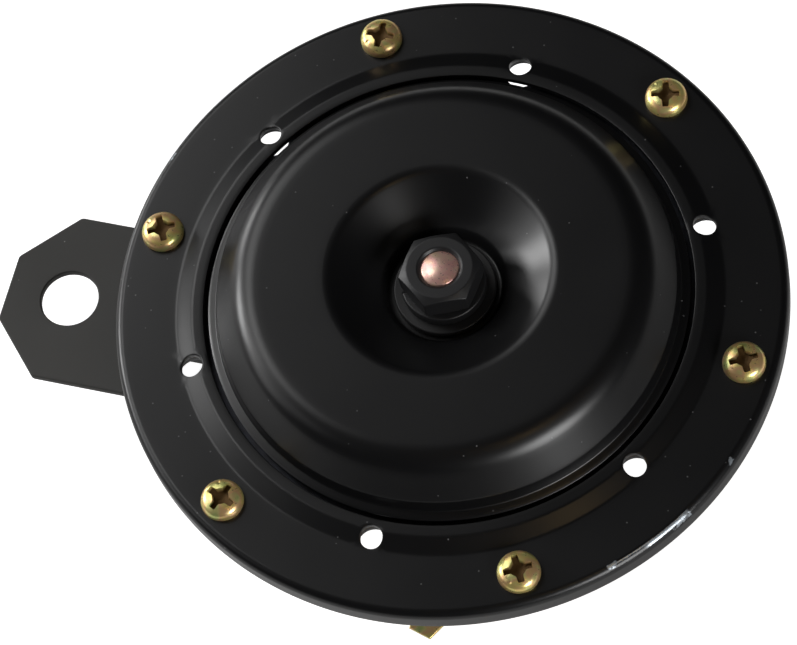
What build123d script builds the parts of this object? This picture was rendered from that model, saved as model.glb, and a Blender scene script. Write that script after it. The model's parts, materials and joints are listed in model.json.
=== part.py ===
from build123d import *
import math
import os

# A vehicle disc horn: a pressed housing with an electromagnet and a contact breaker inside, a steel
# diaphragm clamped under a rim ring, and a pressed tone disc that the diaphragm's stud carries.
# Millimetres. +Z is the horn's axis, out of its front; the rim ring's flat front face is z = 0.
# The mounting bracket's tab points along -X.

os.makedirs("parts", exist_ok=True)

# ---------------------------------------------------------------- driving dimensions
# rim ring
ring_r = 60.0              # outside radius of the ring's turned-down skirt
ring_sheet = 1.2
ring_edge_r = 1.6          # bend between the flat face and the skirt
ring_skirt_z = -4.7        # lower edge of the skirt
ring_flat_width = 11.0     # the flat face, from the outside in
ring_band_width = 5.35     # the band inside it, which rises to the lip
ring_band_bend = 6.0       # between the flat face and the band
ring_lip_width = 1.75      # the band's level edge
ring_lip_bend = 4.0
ring_lip_z = 1.2

# fasteners round the rim
screw_count = 6
screw_inset = 6.0          # from the ring's outside to the circle of screws
screw_angle = 57.65
screw_r = 1.95
screw_hole_r = 2.25
screw_length = 11.0
screw_head_r = 3.8
screw_head_side = 1.3
screw_head_height = 2.5
screw_head_bend = 0.7
screw_point = 0.6          # chamfer at the screw's end
recess_arm = 5.0
recess_width = 1.65
recess_depth = 1.5
recess_taper = 12
rim_nut_flats = 7.0
rim_nut_height = 3.2

# through holes between the screws
hole_count = 6
hole_inset = 2.1           # from the band's outer edge to the circle of holes
hole_angle = 28.2
hole_r = 2.0
lower_hole_r = 3.0         # in the diaphragm, the rear gasket and the housing's flange

# clamped stack under the ring
gasket_sheet = 0.5
gasket_margin = 1.8        # from the ring's outside to the edge of the gaskets, diaphragm and flange
front_gasket_inset = 1.2   # from the flat face's inner edge to the front gasket
rear_gasket_inset = 0.4    # from the bowl's edge to the rear gasket
diaphragm_sheet = 0.4

# diaphragm
corrugation_inset = 9.6    # from the rear gasket in to the corrugation
corrugation_pitch = 5.0
corrugation_height = 0.7

# housing
housing_sheet = 1.2
flange_width = 15.5        # the flat flange, from its outside in to the bowl
dish_slope_width = 5.8
dish_depth = 6.8
dish_bends = (2.0, 2.5, 2.0)
can_room = 13.3            # from the bobbin's flange to the can's wall, for breaker and condenser
can_shoulder_drop = 1.0
can_rear_z = -33.9
can_corner_r = 2.5

# centre stud and its nuts, M8
stud_r = 3.95
stud_clearance = 0.15
washer_clearance = 0.25
fit_gap = 0.05             # between a shank, rivet or thread and its hole
stud_end_chamfer = 0.85
stud_top_z = 11.9
nut_flats = 13.0
nut_height = 5.5
nut_angle = 22.8
nut_face = 0.9             # radius of the nut's round end face, of half its width across flats
nut_chamfer_angle = 30.0
nut_countersink = 0.05     # of the bore's radius
spring_washer_r = 7.55
spring_washer_height = 2.4
spring_washer_split = 1.2
spring_washer_slant = 24   # the cut's slant to the radius
plain_washer_height = 1.5
washer_chamfer = 0.18
disc_washer_r = 9.1

# tone disc
disc_sheet = 1.2
disc_gap = 0.75            # all round, inside the ring's lip
disc_foot_lift = 0.95      # the disc's edge stands this far above the lip
disc_crease_step = 1.7
disc_crease_rise = 2.15
disc_top_z = 11.3
disc_shoulder_r = 6.8
disc_recess_r = 15.8       # where the recess wall would meet the flat top without its bend
disc_recess_bend = 8.0
disc_seat_r = 10.2
disc_seat_z = 2.8
disc_seat_bend = 1.6
spacer_r = 8.6
spacer_chamfer = 0.5

# armature and electromagnet
armature_r = 5.8
armature_hub_r = 9.0
armature_hub_height = 2.9
armature_inset = 3.0       # from the bobbin's flange to the armature's
armature_flange_height = 3.0
magnet_chamfer = 0.4       # broken edges of the armature and the pole
magnet_gap = 0.8
pole_r = 5.9
pole_top_z = -21.0
stud_head_r = 4.9
stud_head_height = 2.4
stud_head_gap = 0.1
stud_head_sink = 0.2       # the head stays this far inside the armature's tip
bobbin_bore_clearance = 0.3
bobbin_wall = 1.0
bobbin_flange_r = 16.5
bobbin_flange = 1.1
bobbin_top_z = -12.9
winding_clearance = 0.1
winding_recess = 1.0       # the winding stays this far inside the bobbin's flanges
winding_turns = 17
winding_swell = 0.35       # how far a turn stands out, in turn pitches
bobbin_notch = (3.0, 2.0)  # where the lead leaves the upper flange

# yoke
yoke_sheet = 1.8
yoke_width = 16.0
yoke_gap = 1.2             # from the bobbin's flange to the yoke's legs
yoke_foot = 7.0
yoke_bend = 2.4
yoke_bore_clearance = 0.7
rivet_r = 1.6
rivet_head_r = 2.5
rivet_head_height = 1.1
rivet_head_edge = 0.35     # the head's straight edge, of its height

# contact breaker, on the +Y side
breaker_width = 13.0
support_sheet = 1.2
support_gap = 1.9          # from the bobbin's flange to the support
support_depth = 9.6
support_top_z = -11.8
support_bend = 2.0
support_rivet_x = 7.4
support_foot_width = 20.0
support_foot_length = 6.0
support_foot_corner = 2.0
breaker_corner = 1.0
arm_corner = 1.5
live_gap = 0.6             # the two live arms clear the screws by this much
insulator_sheet = 1.0
spacer_sheet = 1.8
leaf_sheet = 0.4
leaf_width = 7.0
leaf_overhang = 1.8        # past the push pin
fixed_arm_sheet = 1.0
fixed_arm_width = 8.0
fixed_arm_overhang = 1.9   # past the contact
contact_reach = 2.4        # from the armature's flange out to the contacts
contact_r = 1.7
clamp_sheet = 1.0
breaker_screw_r = 1.25
breaker_screw_head_r = 2.3
breaker_screw_head = 1.3
breaker_screw_pitch = 7.6
breaker_screw_end = 1.2    # under the shelf
breaker_slot = 0.7
breaker_slot_depth = 0.6
breaker_slot_turn = 35
breaker_screw_back = 4.2   # from the support's inner edge to the screws and the adjuster
push_pin_inset = 2.1       # from the edge of the armature's flange to the push pin
push_pin_r = 1.2
push_pin_bend = 0.4

# adjuster through the rear wall, under the breaker's shelf
adjuster_r = 2.45
adjuster_chamfer = 0.5
adjuster_bush_r = 3.4
adjuster_bush_flange_r = 4.6
adjuster_bush_flange = 1.0
adjuster_bush_height = 3.4      # inside the rear wall
adjuster_nut_flats = 8.0
adjuster_nut_height = 3.2
adjuster_end = 3.0         # screw standing out of its lock nut
adjuster_slot = 0.9
adjuster_slot_depth = 1.2
adjuster_slot_turn = 30
adjuster_nut_turn = 12

# condenser
condenser_r = 4.6
condenser_length = 15.0
condenser_gap = 0.9        # from the bobbin's flange to the clip
condenser_yoke_gap = 0.7   # from the yoke's side to the clip
condenser_bend = 0.8
condenser_lift = 0.2       # above the clip's rivet
condenser_cap_r = 1.1
condenser_cap_height = 1.4
condenser_clip_sheet = 0.6
condenser_clip_height = 9.0
condenser_clip_bend = 1.4
condenser_clip_slot = 3.0
condenser_clip_base = 3.0  # the slots start this high
condenser_clip_grip = 0.03

# lead wires inside the can
lead_r = 0.45
lead_bend = 1.6            # radius of the leads' bends
lead_lift = 3.0            # the long lead runs this far above the lugs
lead_spacing = 2.6         # between the two leads on the fixed arm
lead_reach = 8.0           # the condenser's lead comes in from this far beside the arm
lead_angle = 50.0          # where the coil's upper lead comes out
coil_lead_reach = 3.0      # past the bobbin's flange
coil_lead_drop = 1.4       # under the winding's upper end
yoke_lead_gap = 3.5        # from the yoke's leg to the leads that go round it
yoke_lead_overlap = 2.0    # they stay straight this far past the leg's edges

# terminals on the rear face
terminal_angle = -106.0    # the way the blades point
terminal_side = 16.85      # from the horn's axis to the outer blade's centre line
terminal_pitch = 11.2
blade_reach = 10.6         # past the board's end
blade_width = 6.3
blade_tip_width = 4.4
blade_taper = 3.6
blade_sheet = 0.8
board_sheet = 2.0
board_hub_gap = 0.35       # between the board's inner corner and the bracket's round end
board_step_gap = 2.35      # from the bracket's round end out to the board's step
board_step_width = 4.0
board_overhang = 6.0       # past the can
board_margin = 5.4         # beside the outer blade's centre line
board_inner_margin = 3.4   # beside the inner blade's
board_corner = 1.2
board_rib_inset = 1.0
board_rib_corner = 0.6
board_rib_width = 1.6
board_rib_height = 2.0
terminal_rivet_gap = 7.5   # from the bobbin's flange to the rivets' circle
terminal_rivet_r = 1.7
terminal_sleeve_r = 2.8
sleeve_clearance = 0.1
inner_insulator_sheet = 1.0
lug_sheet = 0.6
lug_r = 2.7
lug_margin = 0.3           # the insulator under the lugs is this much wider
lug_tail = 6.0
lug_tail_width = 2.4
blade_hole_r = 0.9
blade_hole_back = 4.6      # from the blade's end to its detent hole

# mounting bracket
bracket_sheet = 1.6
bracket_hub_gap = 1.15     # between the bracket's round end and the adjuster's bush
bracket_neck_half = 7.5    # the strip between the round end and the tab
bracket_neck_inset = 5.5   # from the ring's outside in to the end of the neck
bracket_neck_bend = 3.0
bracket_half_width = 16.85
bracket_reach = 91.5
bracket_end_half = 6.65
bracket_chamfer = 9.8
bracket_hole_x = 79.15
bracket_hole_r = 5.55
bracket_washer_r = 8.0
rear_stud_end = 2.2        # stud standing out of the bracket nut

# ---------------------------------------------------------------- places and levels worked out from them
ring_flat_r = ring_r - ring_flat_width
ring_lip_r = ring_flat_r - ring_band_width
screw_circle_r = ring_r - screw_inset
hole_circle_r = ring_flat_r - hole_inset
flange_r = ring_r - gasket_margin
dish_r = flange_r - flange_width
dish_foot_r = dish_r - dish_slope_width
rear_gasket_inner_r = dish_r + rear_gasket_inset
corrugation_r = rear_gasket_inner_r - corrugation_inset
disc_r = ring_lip_r - disc_gap
disc_crease_r = disc_r - disc_crease_step
can_inner_r = bobbin_flange_r + can_room
armature_flange_r = bobbin_flange_r - armature_inset
can_r = can_inner_r + housing_sheet
support_inner_y = bobbin_flange_r + support_gap
support_outer_y = support_inner_y + support_depth
breaker_screw_y = support_inner_y + breaker_screw_back
contact_y = armature_flange_r + contact_reach
fixed_arm_tip_y = contact_y - fixed_arm_overhang
push_pin_y = armature_flange_r - push_pin_inset
leaf_tip_y = push_pin_y - leaf_overhang
condenser_circle_r = bobbin_flange_r + condenser_gap + condenser_clip_sheet + condenser_r
condenser_y = -(yoke_width / 2 + condenser_yoke_gap + condenser_clip_sheet + condenser_r)
terminal_circle_r = bobbin_flange_r + terminal_rivet_gap
board_end = can_r + board_overhang
blade_end = board_end + blade_reach
bracket_hub_r = breaker_screw_y - adjuster_bush_flange_r - bracket_hub_gap

disc_foot_z = ring_lip_z + disc_foot_lift
disc_crease_z = disc_foot_z + disc_crease_rise
front_gasket_z = -ring_sheet
diaphragm_top_z = front_gasket_z - gasket_sheet
diaphragm_z = diaphragm_top_z - diaphragm_sheet
flange_top_z = diaphragm_z - gasket_sheet
flange_z = flange_top_z - housing_sheet
can_floor_z = can_rear_z + housing_sheet
disc_washer_z = disc_seat_z + plain_washer_height
disc_nut_z = disc_washer_z + spring_washer_height
armature_flange_z = diaphragm_z - armature_hub_height
armature_shoulder_z = armature_flange_z - armature_flange_height
armature_tip_z = pole_top_z + magnet_gap
bobbin_bore_r = armature_r + bobbin_bore_clearance
bracket_rear_z = can_rear_z - bracket_sheet
bracket_washer_z = bracket_rear_z - plain_washer_height
bracket_nut_top_z = bracket_washer_z - spring_washer_height
bracket_nut_z = bracket_nut_top_z - nut_height
board_rear_z = can_rear_z - board_sheet
blade_rear_z = board_rear_z - blade_sheet
bore_r = stud_r + stud_clearance


# ---------------------------------------------------------------- forms used more than once
def hex_nut(flats, height, hole_radius, base_z):
    """A hexagon nut with round end faces, chamfered corners and a countersunk bore."""
    corner_r = flats / math.sqrt(3)
    face_r = nut_face * flats / 2
    corner_drop = (corner_r - face_r) * math.tan(math.radians(nut_chamfer_angle))
    with BuildPart() as nut:
        with BuildSketch(Plane.XY.offset(base_z)):
            RegularPolygon(radius=flats / 2, side_count=6, major_radius=False)
        extrude(amount=height)
        with BuildSketch(Plane.XZ):
            with BuildLine():
                Polyline(
                    (0, base_z),
                    (face_r, base_z),
                    (corner_r, base_z + corner_drop),
                    (corner_r, base_z + height - corner_drop),
                    (face_r, base_z + height),
                    (0, base_z + height),
                    close=True,
                )
            make_face()
        revolve(axis=Axis.Z, mode=Mode.INTERSECT)
        with BuildSketch(Plane.XY.offset(base_z)):
            Circle(hole_radius)
        extrude(amount=height, mode=Mode.SUBTRACT)
        bore_edges = nut.edges().filter_by(GeomType.CIRCLE)
        mouths = bore_edges.filter_by(lambda edge: abs(edge.radius - hole_radius) < 0.001)
        chamfer(mouths, nut_countersink * hole_radius)
    return nut.part


def spring_washer(outer_r, hole_radius, height, base_z, split_angle):
    """A split lock washer, closed up flat under its nut."""
    with BuildPart() as washer:
        with BuildSketch(Plane.XY.offset(base_z)):
            Circle(outer_r)
            Circle(hole_radius, mode=Mode.SUBTRACT)
        extrude(amount=height)
        split_plane = Plane.XY.offset(base_z - 1).rotated((0, 0, split_angle))
        with BuildSketch(split_plane):
            with Locations((outer_r, 0)):
                Rectangle(2 * outer_r, spring_washer_split, rotation=spring_washer_slant)
        extrude(amount=height + 2, mode=Mode.SUBTRACT)
    return washer.part


def flat_washer(outer_r, hole_radius, height, base_z):
    """A plain washer with its upper outside edge broken."""
    with BuildPart() as washer:
        with BuildSketch(Plane.XY.offset(base_z)):
            Circle(outer_r)
            Circle(hole_radius, mode=Mode.SUBTRACT)
        extrude(amount=height)
        rim = washer.edges().filter_by(GeomType.CIRCLE).sort_by(SortBy.RADIUS)[-2:]
        chamfer(rim, washer_chamfer)
    return washer.part


def dome(radius, base_z, height):
    """The arc of a spherical cap, from its rim at base_z to its crown on the axis."""
    sphere_r = (radius**2 + height**2) / (2 * abs(height))
    rise = math.degrees(math.asin(radius / sphere_r))
    if height > 0:
        return CenterArc((0, base_z + height - sphere_r), sphere_r, 90 - rise, rise)
    return CenterArc((0, base_z + height + sphere_r), sphere_r, -90, rise)


def rivet(radius, head_r, head_height, low_z, high_z):
    """A rivet closed against low_z and high_z, with a low domed head at each end."""
    edge = head_height * rivet_head_edge
    with BuildPart() as pin:
        with BuildSketch(Plane.XZ):
            with BuildLine():
                Line((0, low_z - head_height), (0, high_z + head_height))
                dome(head_r, high_z + edge, head_height - edge)
                Polyline(
                    (head_r, high_z + edge),
                    (head_r, high_z),
                    (radius, high_z),
                    (radius, low_z),
                    (head_r, low_z),
                    (head_r, low_z - edge),
                )
                dome(head_r, low_z - edge, edge - head_height)
            make_face()
        revolve(axis=Axis.Z)
    return pin.part


# ---------------------------------------------------------------- rim ring
with BuildPart() as clamp_ring:
    with BuildSketch(Plane.XZ):
        with BuildLine():
            FilletPolyline(
                (ring_lip_r, ring_lip_z),
                (ring_lip_r + ring_lip_width, ring_lip_z),
                (ring_flat_r, 0),
                (ring_r, 0),
                (ring_r, ring_skirt_z),
                radius=[ring_lip_bend, ring_band_bend, ring_edge_r],
            )
            offset(amount=ring_sheet, side=Side.RIGHT, closed=True)
        make_face()
    revolve(axis=Axis.Z)
    with BuildSketch(Plane.XY.offset(-ring_sheet - 1)):
        with PolarLocations(screw_circle_r, screw_count, start_angle=screw_angle):
            Circle(screw_hole_r)
        with PolarLocations(hole_circle_r, hole_count, start_angle=hole_angle):
            Circle(hole_r)
    extrude(amount=ring_sheet + ring_lip_z + 2, mode=Mode.SUBTRACT)
clamp_ring.part.label = "clamp_ring"
export_step(clamp_ring.part, "parts/clamp_ring.step")


# ---------------------------------------------------------------- housing
def rear_points(angle_from_x, radius):
    """A point on the rear face, by its angle and its distance from the axis."""
    turn = math.radians(angle_from_x)
    return (radius * math.cos(turn), radius * math.sin(turn))


blade_way = Vector(*rear_points(terminal_angle, 1))
blade_side = Vector(-blade_way.Y, blade_way.X)


def terminal_point(side, along):
    """A point in the terminals' own frame: side across the blades, along the way they point."""
    spot = blade_side * side + blade_way * along
    return (spot.X, spot.Y)


blade_sides = (terminal_side, terminal_side - terminal_pitch)
terminal_rivet_along = [math.sqrt(terminal_circle_r**2 - side**2) for side in blade_sides]
terminal_rivets_xy = [terminal_point(side, along) for side, along in zip(blade_sides, terminal_rivet_along)]
yoke_leg_x = bobbin_flange_r + yoke_gap
support_rivets_xy = [(support_rivet_x, breaker_screw_y), (-support_rivet_x, breaker_screw_y)]
condenser_xy = (math.sqrt(condenser_circle_r**2 - condenser_y**2), condenser_y)

with BuildPart() as housing:
    with BuildSketch(Plane.XZ):
        with BuildLine():
            FilletPolyline(
                (flange_r, flange_top_z),
                (dish_r, flange_top_z),
                (dish_foot_r, flange_top_z - dish_depth),
                (can_inner_r, flange_top_z - dish_depth - can_shoulder_drop),
                (can_inner_r, can_floor_z),
                (bore_r, can_floor_z),
                radius=[*dish_bends, can_corner_r],
            )
            offset(amount=housing_sheet, side=Side.LEFT, closed=True)
        make_face()
    revolve(axis=Axis.Z)
    with BuildSketch(Plane.XY.offset(flange_z - 1)):
        with PolarLocations(screw_circle_r, screw_count, start_angle=screw_angle):
            Circle(screw_hole_r)
        with PolarLocations(hole_circle_r, hole_count, start_angle=hole_angle):
            Circle(lower_hole_r)
    extrude(amount=housing_sheet + 2, mode=Mode.SUBTRACT)
    with BuildSketch(Plane.XY.offset(can_rear_z - 1)):
        with Locations(*support_rivets_xy, condenser_xy):
            Circle(rivet_r + fit_gap)
        with Locations(*terminal_rivets_xy):
            Circle(terminal_sleeve_r + sleeve_clearance)
        with Locations((0, breaker_screw_y)):
            Circle(adjuster_bush_r + fit_gap)
    extrude(amount=housing_sheet + 2, mode=Mode.SUBTRACT)
housing.part.label = "housing"
export_step(housing.part, "parts/housing.step")

# ---------------------------------------------------------------- diaphragm and gaskets
with BuildPart() as diaphragm:
    with BuildSketch(Plane.XZ):
        with BuildLine():
            for level in (diaphragm_top_z, diaphragm_z):
                wave = Spline(
                    (corrugation_r - 2 * corrugation_pitch, level),
                    (corrugation_r - corrugation_pitch, level - corrugation_height),
                    (corrugation_r, level),
                    tangents=[(1, 0), (1, 0)],
                )
                Line((bore_r, level), wave @ 0)
                Line(wave @ 1, (flange_r, level))
            Line((bore_r, diaphragm_z), (bore_r, diaphragm_top_z))
            Line((flange_r, diaphragm_z), (flange_r, diaphragm_top_z))
        make_face()
    revolve(axis=Axis.Z)
    with BuildSketch(Plane.XY.offset(diaphragm_z - 1)):
        with PolarLocations(screw_circle_r, screw_count, start_angle=screw_angle):
            Circle(screw_hole_r)
        with PolarLocations(hole_circle_r, hole_count, start_angle=hole_angle):
            Circle(lower_hole_r)
    extrude(amount=diaphragm_sheet + 2, mode=Mode.SUBTRACT)
diaphragm.part.label = "diaphragm"
export_step(diaphragm.part, "parts/diaphragm.step")

with BuildPart() as front_gasket:
    with BuildSketch(Plane.XY.offset(diaphragm_top_z)):
        Circle(flange_r)
        Circle(ring_flat_r + front_gasket_inset, mode=Mode.SUBTRACT)
        with PolarLocations(screw_circle_r, screw_count, start_angle=screw_angle):
            Circle(screw_hole_r, mode=Mode.SUBTRACT)
    extrude(amount=gasket_sheet)
front_gasket.part.label = "front_gasket"
export_step(front_gasket.part, "parts/front_gasket.step")

with BuildPart() as rear_gasket:
    with BuildSketch(Plane.XY.offset(flange_top_z)):
        Circle(flange_r)
        Circle(rear_gasket_inner_r, mode=Mode.SUBTRACT)
        with PolarLocations(screw_circle_r, screw_count, start_angle=screw_angle):
            Circle(screw_hole_r, mode=Mode.SUBTRACT)
        with PolarLocations(hole_circle_r, hole_count, start_angle=hole_angle):
            Circle(lower_hole_r, mode=Mode.SUBTRACT)
    extrude(amount=gasket_sheet)
rear_gasket.part.label = "rear_gasket"
export_step(rear_gasket.part, "parts/rear_gasket.step")

# ---------------------------------------------------------------- rim screws and nuts
with BuildPart() as one_screw:
    with BuildSketch(Plane.XZ):
        with BuildLine():
            Polyline(
                (0, screw_head_height),
                (0, -screw_length),
                (screw_r - screw_point, -screw_length),
                (screw_r, screw_point - screw_length),
                (screw_r, 0),
                (screw_head_r, 0),
                (screw_head_r, screw_head_side),
            )
            dome(screw_head_r, screw_head_side, screw_head_height - screw_head_side)
        make_face()
    revolve(axis=Axis.Z)
    head_edge = one_screw.edges().filter_by_position(Axis.Z, screw_head_side - 0.01, screw_head_side + 0.01)
    fillet(head_edge, screw_head_bend)
    for arm_length, arm_width in ((recess_arm, recess_width), (recess_width, recess_arm)):
        with BuildSketch(Plane.XY.offset(screw_head_height)):
            Rectangle(arm_length, arm_width)
        extrude(amount=-recess_depth, taper=recess_taper, mode=Mode.SUBTRACT)

with BuildPart() as rim_screws:
    with PolarLocations(screw_circle_r, screw_count, start_angle=screw_angle):
        add(one_screw.part)
rim_screws.part.label = "rim_screws"
export_step(rim_screws.part, "parts/rim_screws.step")

one_rim_nut = hex_nut(rim_nut_flats, rim_nut_height, screw_r + fit_gap, flange_z - rim_nut_height)
with BuildPart() as rim_nuts:
    with PolarLocations(screw_circle_r, screw_count, start_angle=screw_angle):
        add(one_rim_nut)
rim_nuts.part.label = "rim_nuts"
export_step(rim_nuts.part, "parts/rim_nuts.step")

# ---------------------------------------------------------------- tone disc
with BuildPart() as tone_disc:
    with BuildSketch(Plane.XZ):
        with BuildLine():
            foot = Line((disc_r, disc_foot_z), (disc_crease_r, disc_crease_z))
            FilletPolyline(
                foot @ 1,
                (disc_crease_r, disc_top_z),
                (disc_recess_r, disc_top_z),
                (disc_seat_r, disc_seat_z),
                (bore_r, disc_seat_z),
                radius=[disc_shoulder_r, disc_recess_bend, disc_seat_bend],
            )
            offset(amount=disc_sheet, side=Side.LEFT, closed=True)
        make_face()
    revolve(axis=Axis.Z)
tone_disc.part.label = "tone_disc"
export_step(tone_disc.part, "parts/tone_disc.step")

with BuildPart() as disc_spacer:
    with BuildSketch(Plane.XY.offset(diaphragm_top_z)):
        Circle(spacer_r)
        Circle(bore_r, mode=Mode.SUBTRACT)
    extrude(amount=disc_seat_z - disc_sheet - diaphragm_top_z)
    chamfer(disc_spacer.edges().filter_by(GeomType.CIRCLE).sort_by(SortBy.RADIUS)[-2:], spacer_chamfer)
disc_spacer.part.label = "disc_spacer"
export_step(disc_spacer.part, "parts/disc_spacer.step")

disc_washer = flat_washer(disc_washer_r, stud_r + washer_clearance, plain_washer_height, disc_seat_z)
disc_washer.label = "disc_washer"
export_step(disc_washer, "parts/disc_washer.step")

disc_spring_washer = spring_washer(spring_washer_r, bore_r, spring_washer_height, disc_washer_z, 110)
disc_spring_washer.label = "disc_spring_washer"
export_step(disc_spring_washer, "parts/disc_spring_washer.step")

disc_nut = hex_nut(nut_flats, nut_height, stud_r + fit_gap, disc_nut_z).rotate(Axis.Z, nut_angle)
disc_nut.label = "disc_nut"
export_step(disc_nut, "parts/disc_nut.step")

# ---------------------------------------------------------------- armature and its stud
with BuildPart() as armature:
    with BuildSketch(Plane.XZ):
        with BuildLine():
            Polyline(
                (bore_r, diaphragm_z),
                (armature_hub_r, diaphragm_z),
                (armature_hub_r, armature_flange_z),
                (armature_flange_r, armature_flange_z),
                (armature_flange_r, armature_shoulder_z),
                (armature_r, armature_shoulder_z),
                (armature_r, armature_tip_z),
                (stud_head_r + stud_head_gap, armature_tip_z),
                (stud_head_r + stud_head_gap, armature_tip_z + stud_head_height),
                (bore_r, armature_tip_z + stud_head_height),
                close=True,
            )
        make_face()
    revolve(axis=Axis.Z)
    flange_rims = armature.edges().filter_by(lambda edge: edge.geom_type == GeomType.CIRCLE
                                             and abs(edge.radius - armature_flange_r) < 0.001)
    chamfer(flange_rims, magnet_chamfer)
armature.part.label = "armature"
export_step(armature.part, "parts/armature.step")

with BuildPart() as armature_stud:
    stud_low_z = armature_tip_z + stud_head_sink
    with BuildSketch(Plane.XY.offset(stud_low_z)):
        Circle(stud_head_r)
    extrude(amount=stud_head_height - stud_head_sink)
    with BuildSketch(Plane.XY.offset(stud_low_z)):
        Circle(stud_r)
    extrude(amount=stud_top_z - stud_low_z)
    chamfer(armature_stud.edges().filter_by(GeomType.CIRCLE).sort_by(Axis.Z)[-1], stud_end_chamfer)
armature_stud.part.label = "armature_stud"
export_step(armature_stud.part, "parts/armature_stud.step")

leaf_top_z = support_top_z + insulator_sheet + leaf_sheet
with BuildPart() as push_pin:
    with BuildSketch(Plane.XY.offset(leaf_top_z)):
        with Locations((0, push_pin_y)):
            Circle(push_pin_r)
    extrude(amount=armature_shoulder_z - leaf_top_z)
    fillet(push_pin.edges().filter_by(GeomType.CIRCLE).sort_by(Axis.Z)[0], push_pin_bend)
push_pin.part.label = "push_pin"
export_step(push_pin.part, "parts/push_pin.step")

# ---------------------------------------------------------------- pole core and coil
with BuildPart() as pole_core:
    with BuildSketch(Plane.XY.offset(can_floor_z)):
        Circle(pole_r)
    extrude(amount=pole_top_z - can_floor_z)
    chamfer(pole_core.edges().filter_by(GeomType.CIRCLE).sort_by(Axis.Z)[-1], magnet_chamfer)
    with BuildSketch(Plane.XY.offset(can_floor_z)):
        Circle(stud_r)
    extrude(amount=-(can_floor_z - bracket_nut_z + rear_stud_end))
    chamfer(pole_core.edges().filter_by(GeomType.CIRCLE).sort_by(Axis.Z)[0], stud_end_chamfer)
pole_core.part.label = "pole_core"
export_step(pole_core.part, "parts/pole_core.step")

with BuildPart() as coil_bobbin:
    with BuildSketch(Plane.XZ):
        with BuildLine():
            Polyline(
                (bobbin_bore_r, can_floor_z),
                (bobbin_flange_r, can_floor_z),
                (bobbin_flange_r, can_floor_z + bobbin_flange),
                (bobbin_bore_r + bobbin_wall, can_floor_z + bobbin_flange),
                (bobbin_bore_r + bobbin_wall, bobbin_top_z - bobbin_flange),
                (bobbin_flange_r, bobbin_top_z - bobbin_flange),
                (bobbin_flange_r, bobbin_top_z),
                (bobbin_bore_r, bobbin_top_z),
                close=True,
            )
        make_face()
    revolve(axis=Axis.Z)
    with BuildSketch(Plane.XY.offset(bobbin_top_z)):
        with Locations((bobbin_flange_r, 0)):
            Rectangle(*bobbin_notch)
    extrude(amount=-bobbin_flange, mode=Mode.SUBTRACT)
coil_bobbin.part.label = "coil_bobbin"
export_step(coil_bobbin.part, "parts/coil_bobbin.step")

winding_low_z = can_floor_z + bobbin_flange + winding_clearance
winding_high_z = bobbin_top_z - bobbin_flange - winding_clearance
winding_inner_r = bobbin_bore_r + bobbin_wall + winding_clearance
winding_r = bobbin_flange_r - winding_recess
with BuildPart() as coil_winding:
    with BuildSketch(Plane.XZ):
        with BuildLine():
            turn_pitch = (winding_high_z - winding_low_z) / winding_turns
            Polyline(
                (winding_r, winding_low_z),
                (winding_inner_r, winding_low_z),
                (winding_inner_r, winding_high_z),
                (winding_r, winding_high_z),
            )
            for turn in range(winding_turns):
                low = winding_low_z + turn * turn_pitch
                ThreePointArc(
                    (winding_r, low),
                    (winding_r + turn_pitch * winding_swell, low + turn_pitch / 2),
                    (winding_r, low + turn_pitch),
                )
        make_face()
    revolve(axis=Axis.Z)
coil_winding.part.label = "coil_winding"
export_step(coil_winding.part, "parts/coil_winding.step")

with BuildPart() as magnet_yoke:
    yoke_outer_x = yoke_leg_x + yoke_sheet
    with BuildSketch(Plane.XZ.offset(-yoke_width / 2)):
        with BuildLine():
            FilletPolyline(
                (yoke_outer_x + yoke_foot, can_floor_z + yoke_sheet),
                (yoke_outer_x, can_floor_z + yoke_sheet),
                (yoke_outer_x, bobbin_top_z + yoke_sheet),
                (-yoke_outer_x, bobbin_top_z + yoke_sheet),
                (-yoke_outer_x, can_floor_z + yoke_sheet),
                (-yoke_outer_x - yoke_foot, can_floor_z + yoke_sheet),
                radius=[yoke_bend - yoke_sheet, yoke_bend, yoke_bend, yoke_bend - yoke_sheet],
            )
            offset(amount=yoke_sheet, side=Side.LEFT, closed=True)
        make_face()
    extrude(amount=yoke_width)
    with BuildSketch(Plane.XY.offset(bobbin_top_z)):
        Circle(armature_r + yoke_bore_clearance)
    extrude(amount=yoke_sheet, mode=Mode.SUBTRACT)
magnet_yoke.part.label = "magnet_yoke"
export_step(magnet_yoke.part, "parts/magnet_yoke.step")

# ---------------------------------------------------------------- contact breaker
shelf_under_z = support_top_z - support_sheet
with BuildPart() as breaker_support:
    with BuildSketch(Plane.YZ.offset(-breaker_width / 2)):
        with BuildLine():
            FilletPolyline(
                (support_inner_y, can_floor_z),
                (support_outer_y, can_floor_z),
                (support_outer_y, support_top_z),
                (support_inner_y, support_top_z),
                radius=support_bend,
            )
            offset(amount=support_sheet, side=Side.LEFT, closed=True)
        make_face()
    extrude(amount=breaker_width)
    with BuildSketch(Plane.XY.offset(can_floor_z)):
        with Locations((0, breaker_screw_y)):
            RectangleRounded(support_foot_width, support_foot_length, support_foot_corner)
    extrude(amount=support_sheet)
    with BuildSketch(Plane.XY.offset(can_floor_z - 1)):
        with Locations(*support_rivets_xy):
            Circle(rivet_r + fit_gap)
        with Locations((0, breaker_screw_y)):
            Circle(adjuster_bush_r + fit_gap)
    extrude(amount=support_sheet + 2, mode=Mode.SUBTRACT)
    with BuildSketch(Plane.XY.offset(shelf_under_z - 1)):
        with GridLocations(breaker_screw_pitch, 0, 2, 1):
            with Locations((0, breaker_screw_y)):
                Circle(breaker_screw_r + fit_gap)
    extrude(amount=support_sheet + 2, mode=Mode.SUBTRACT)
breaker_support.part.label = "breaker_support"
export_step(breaker_support.part, "parts/breaker_support.step")

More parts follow.
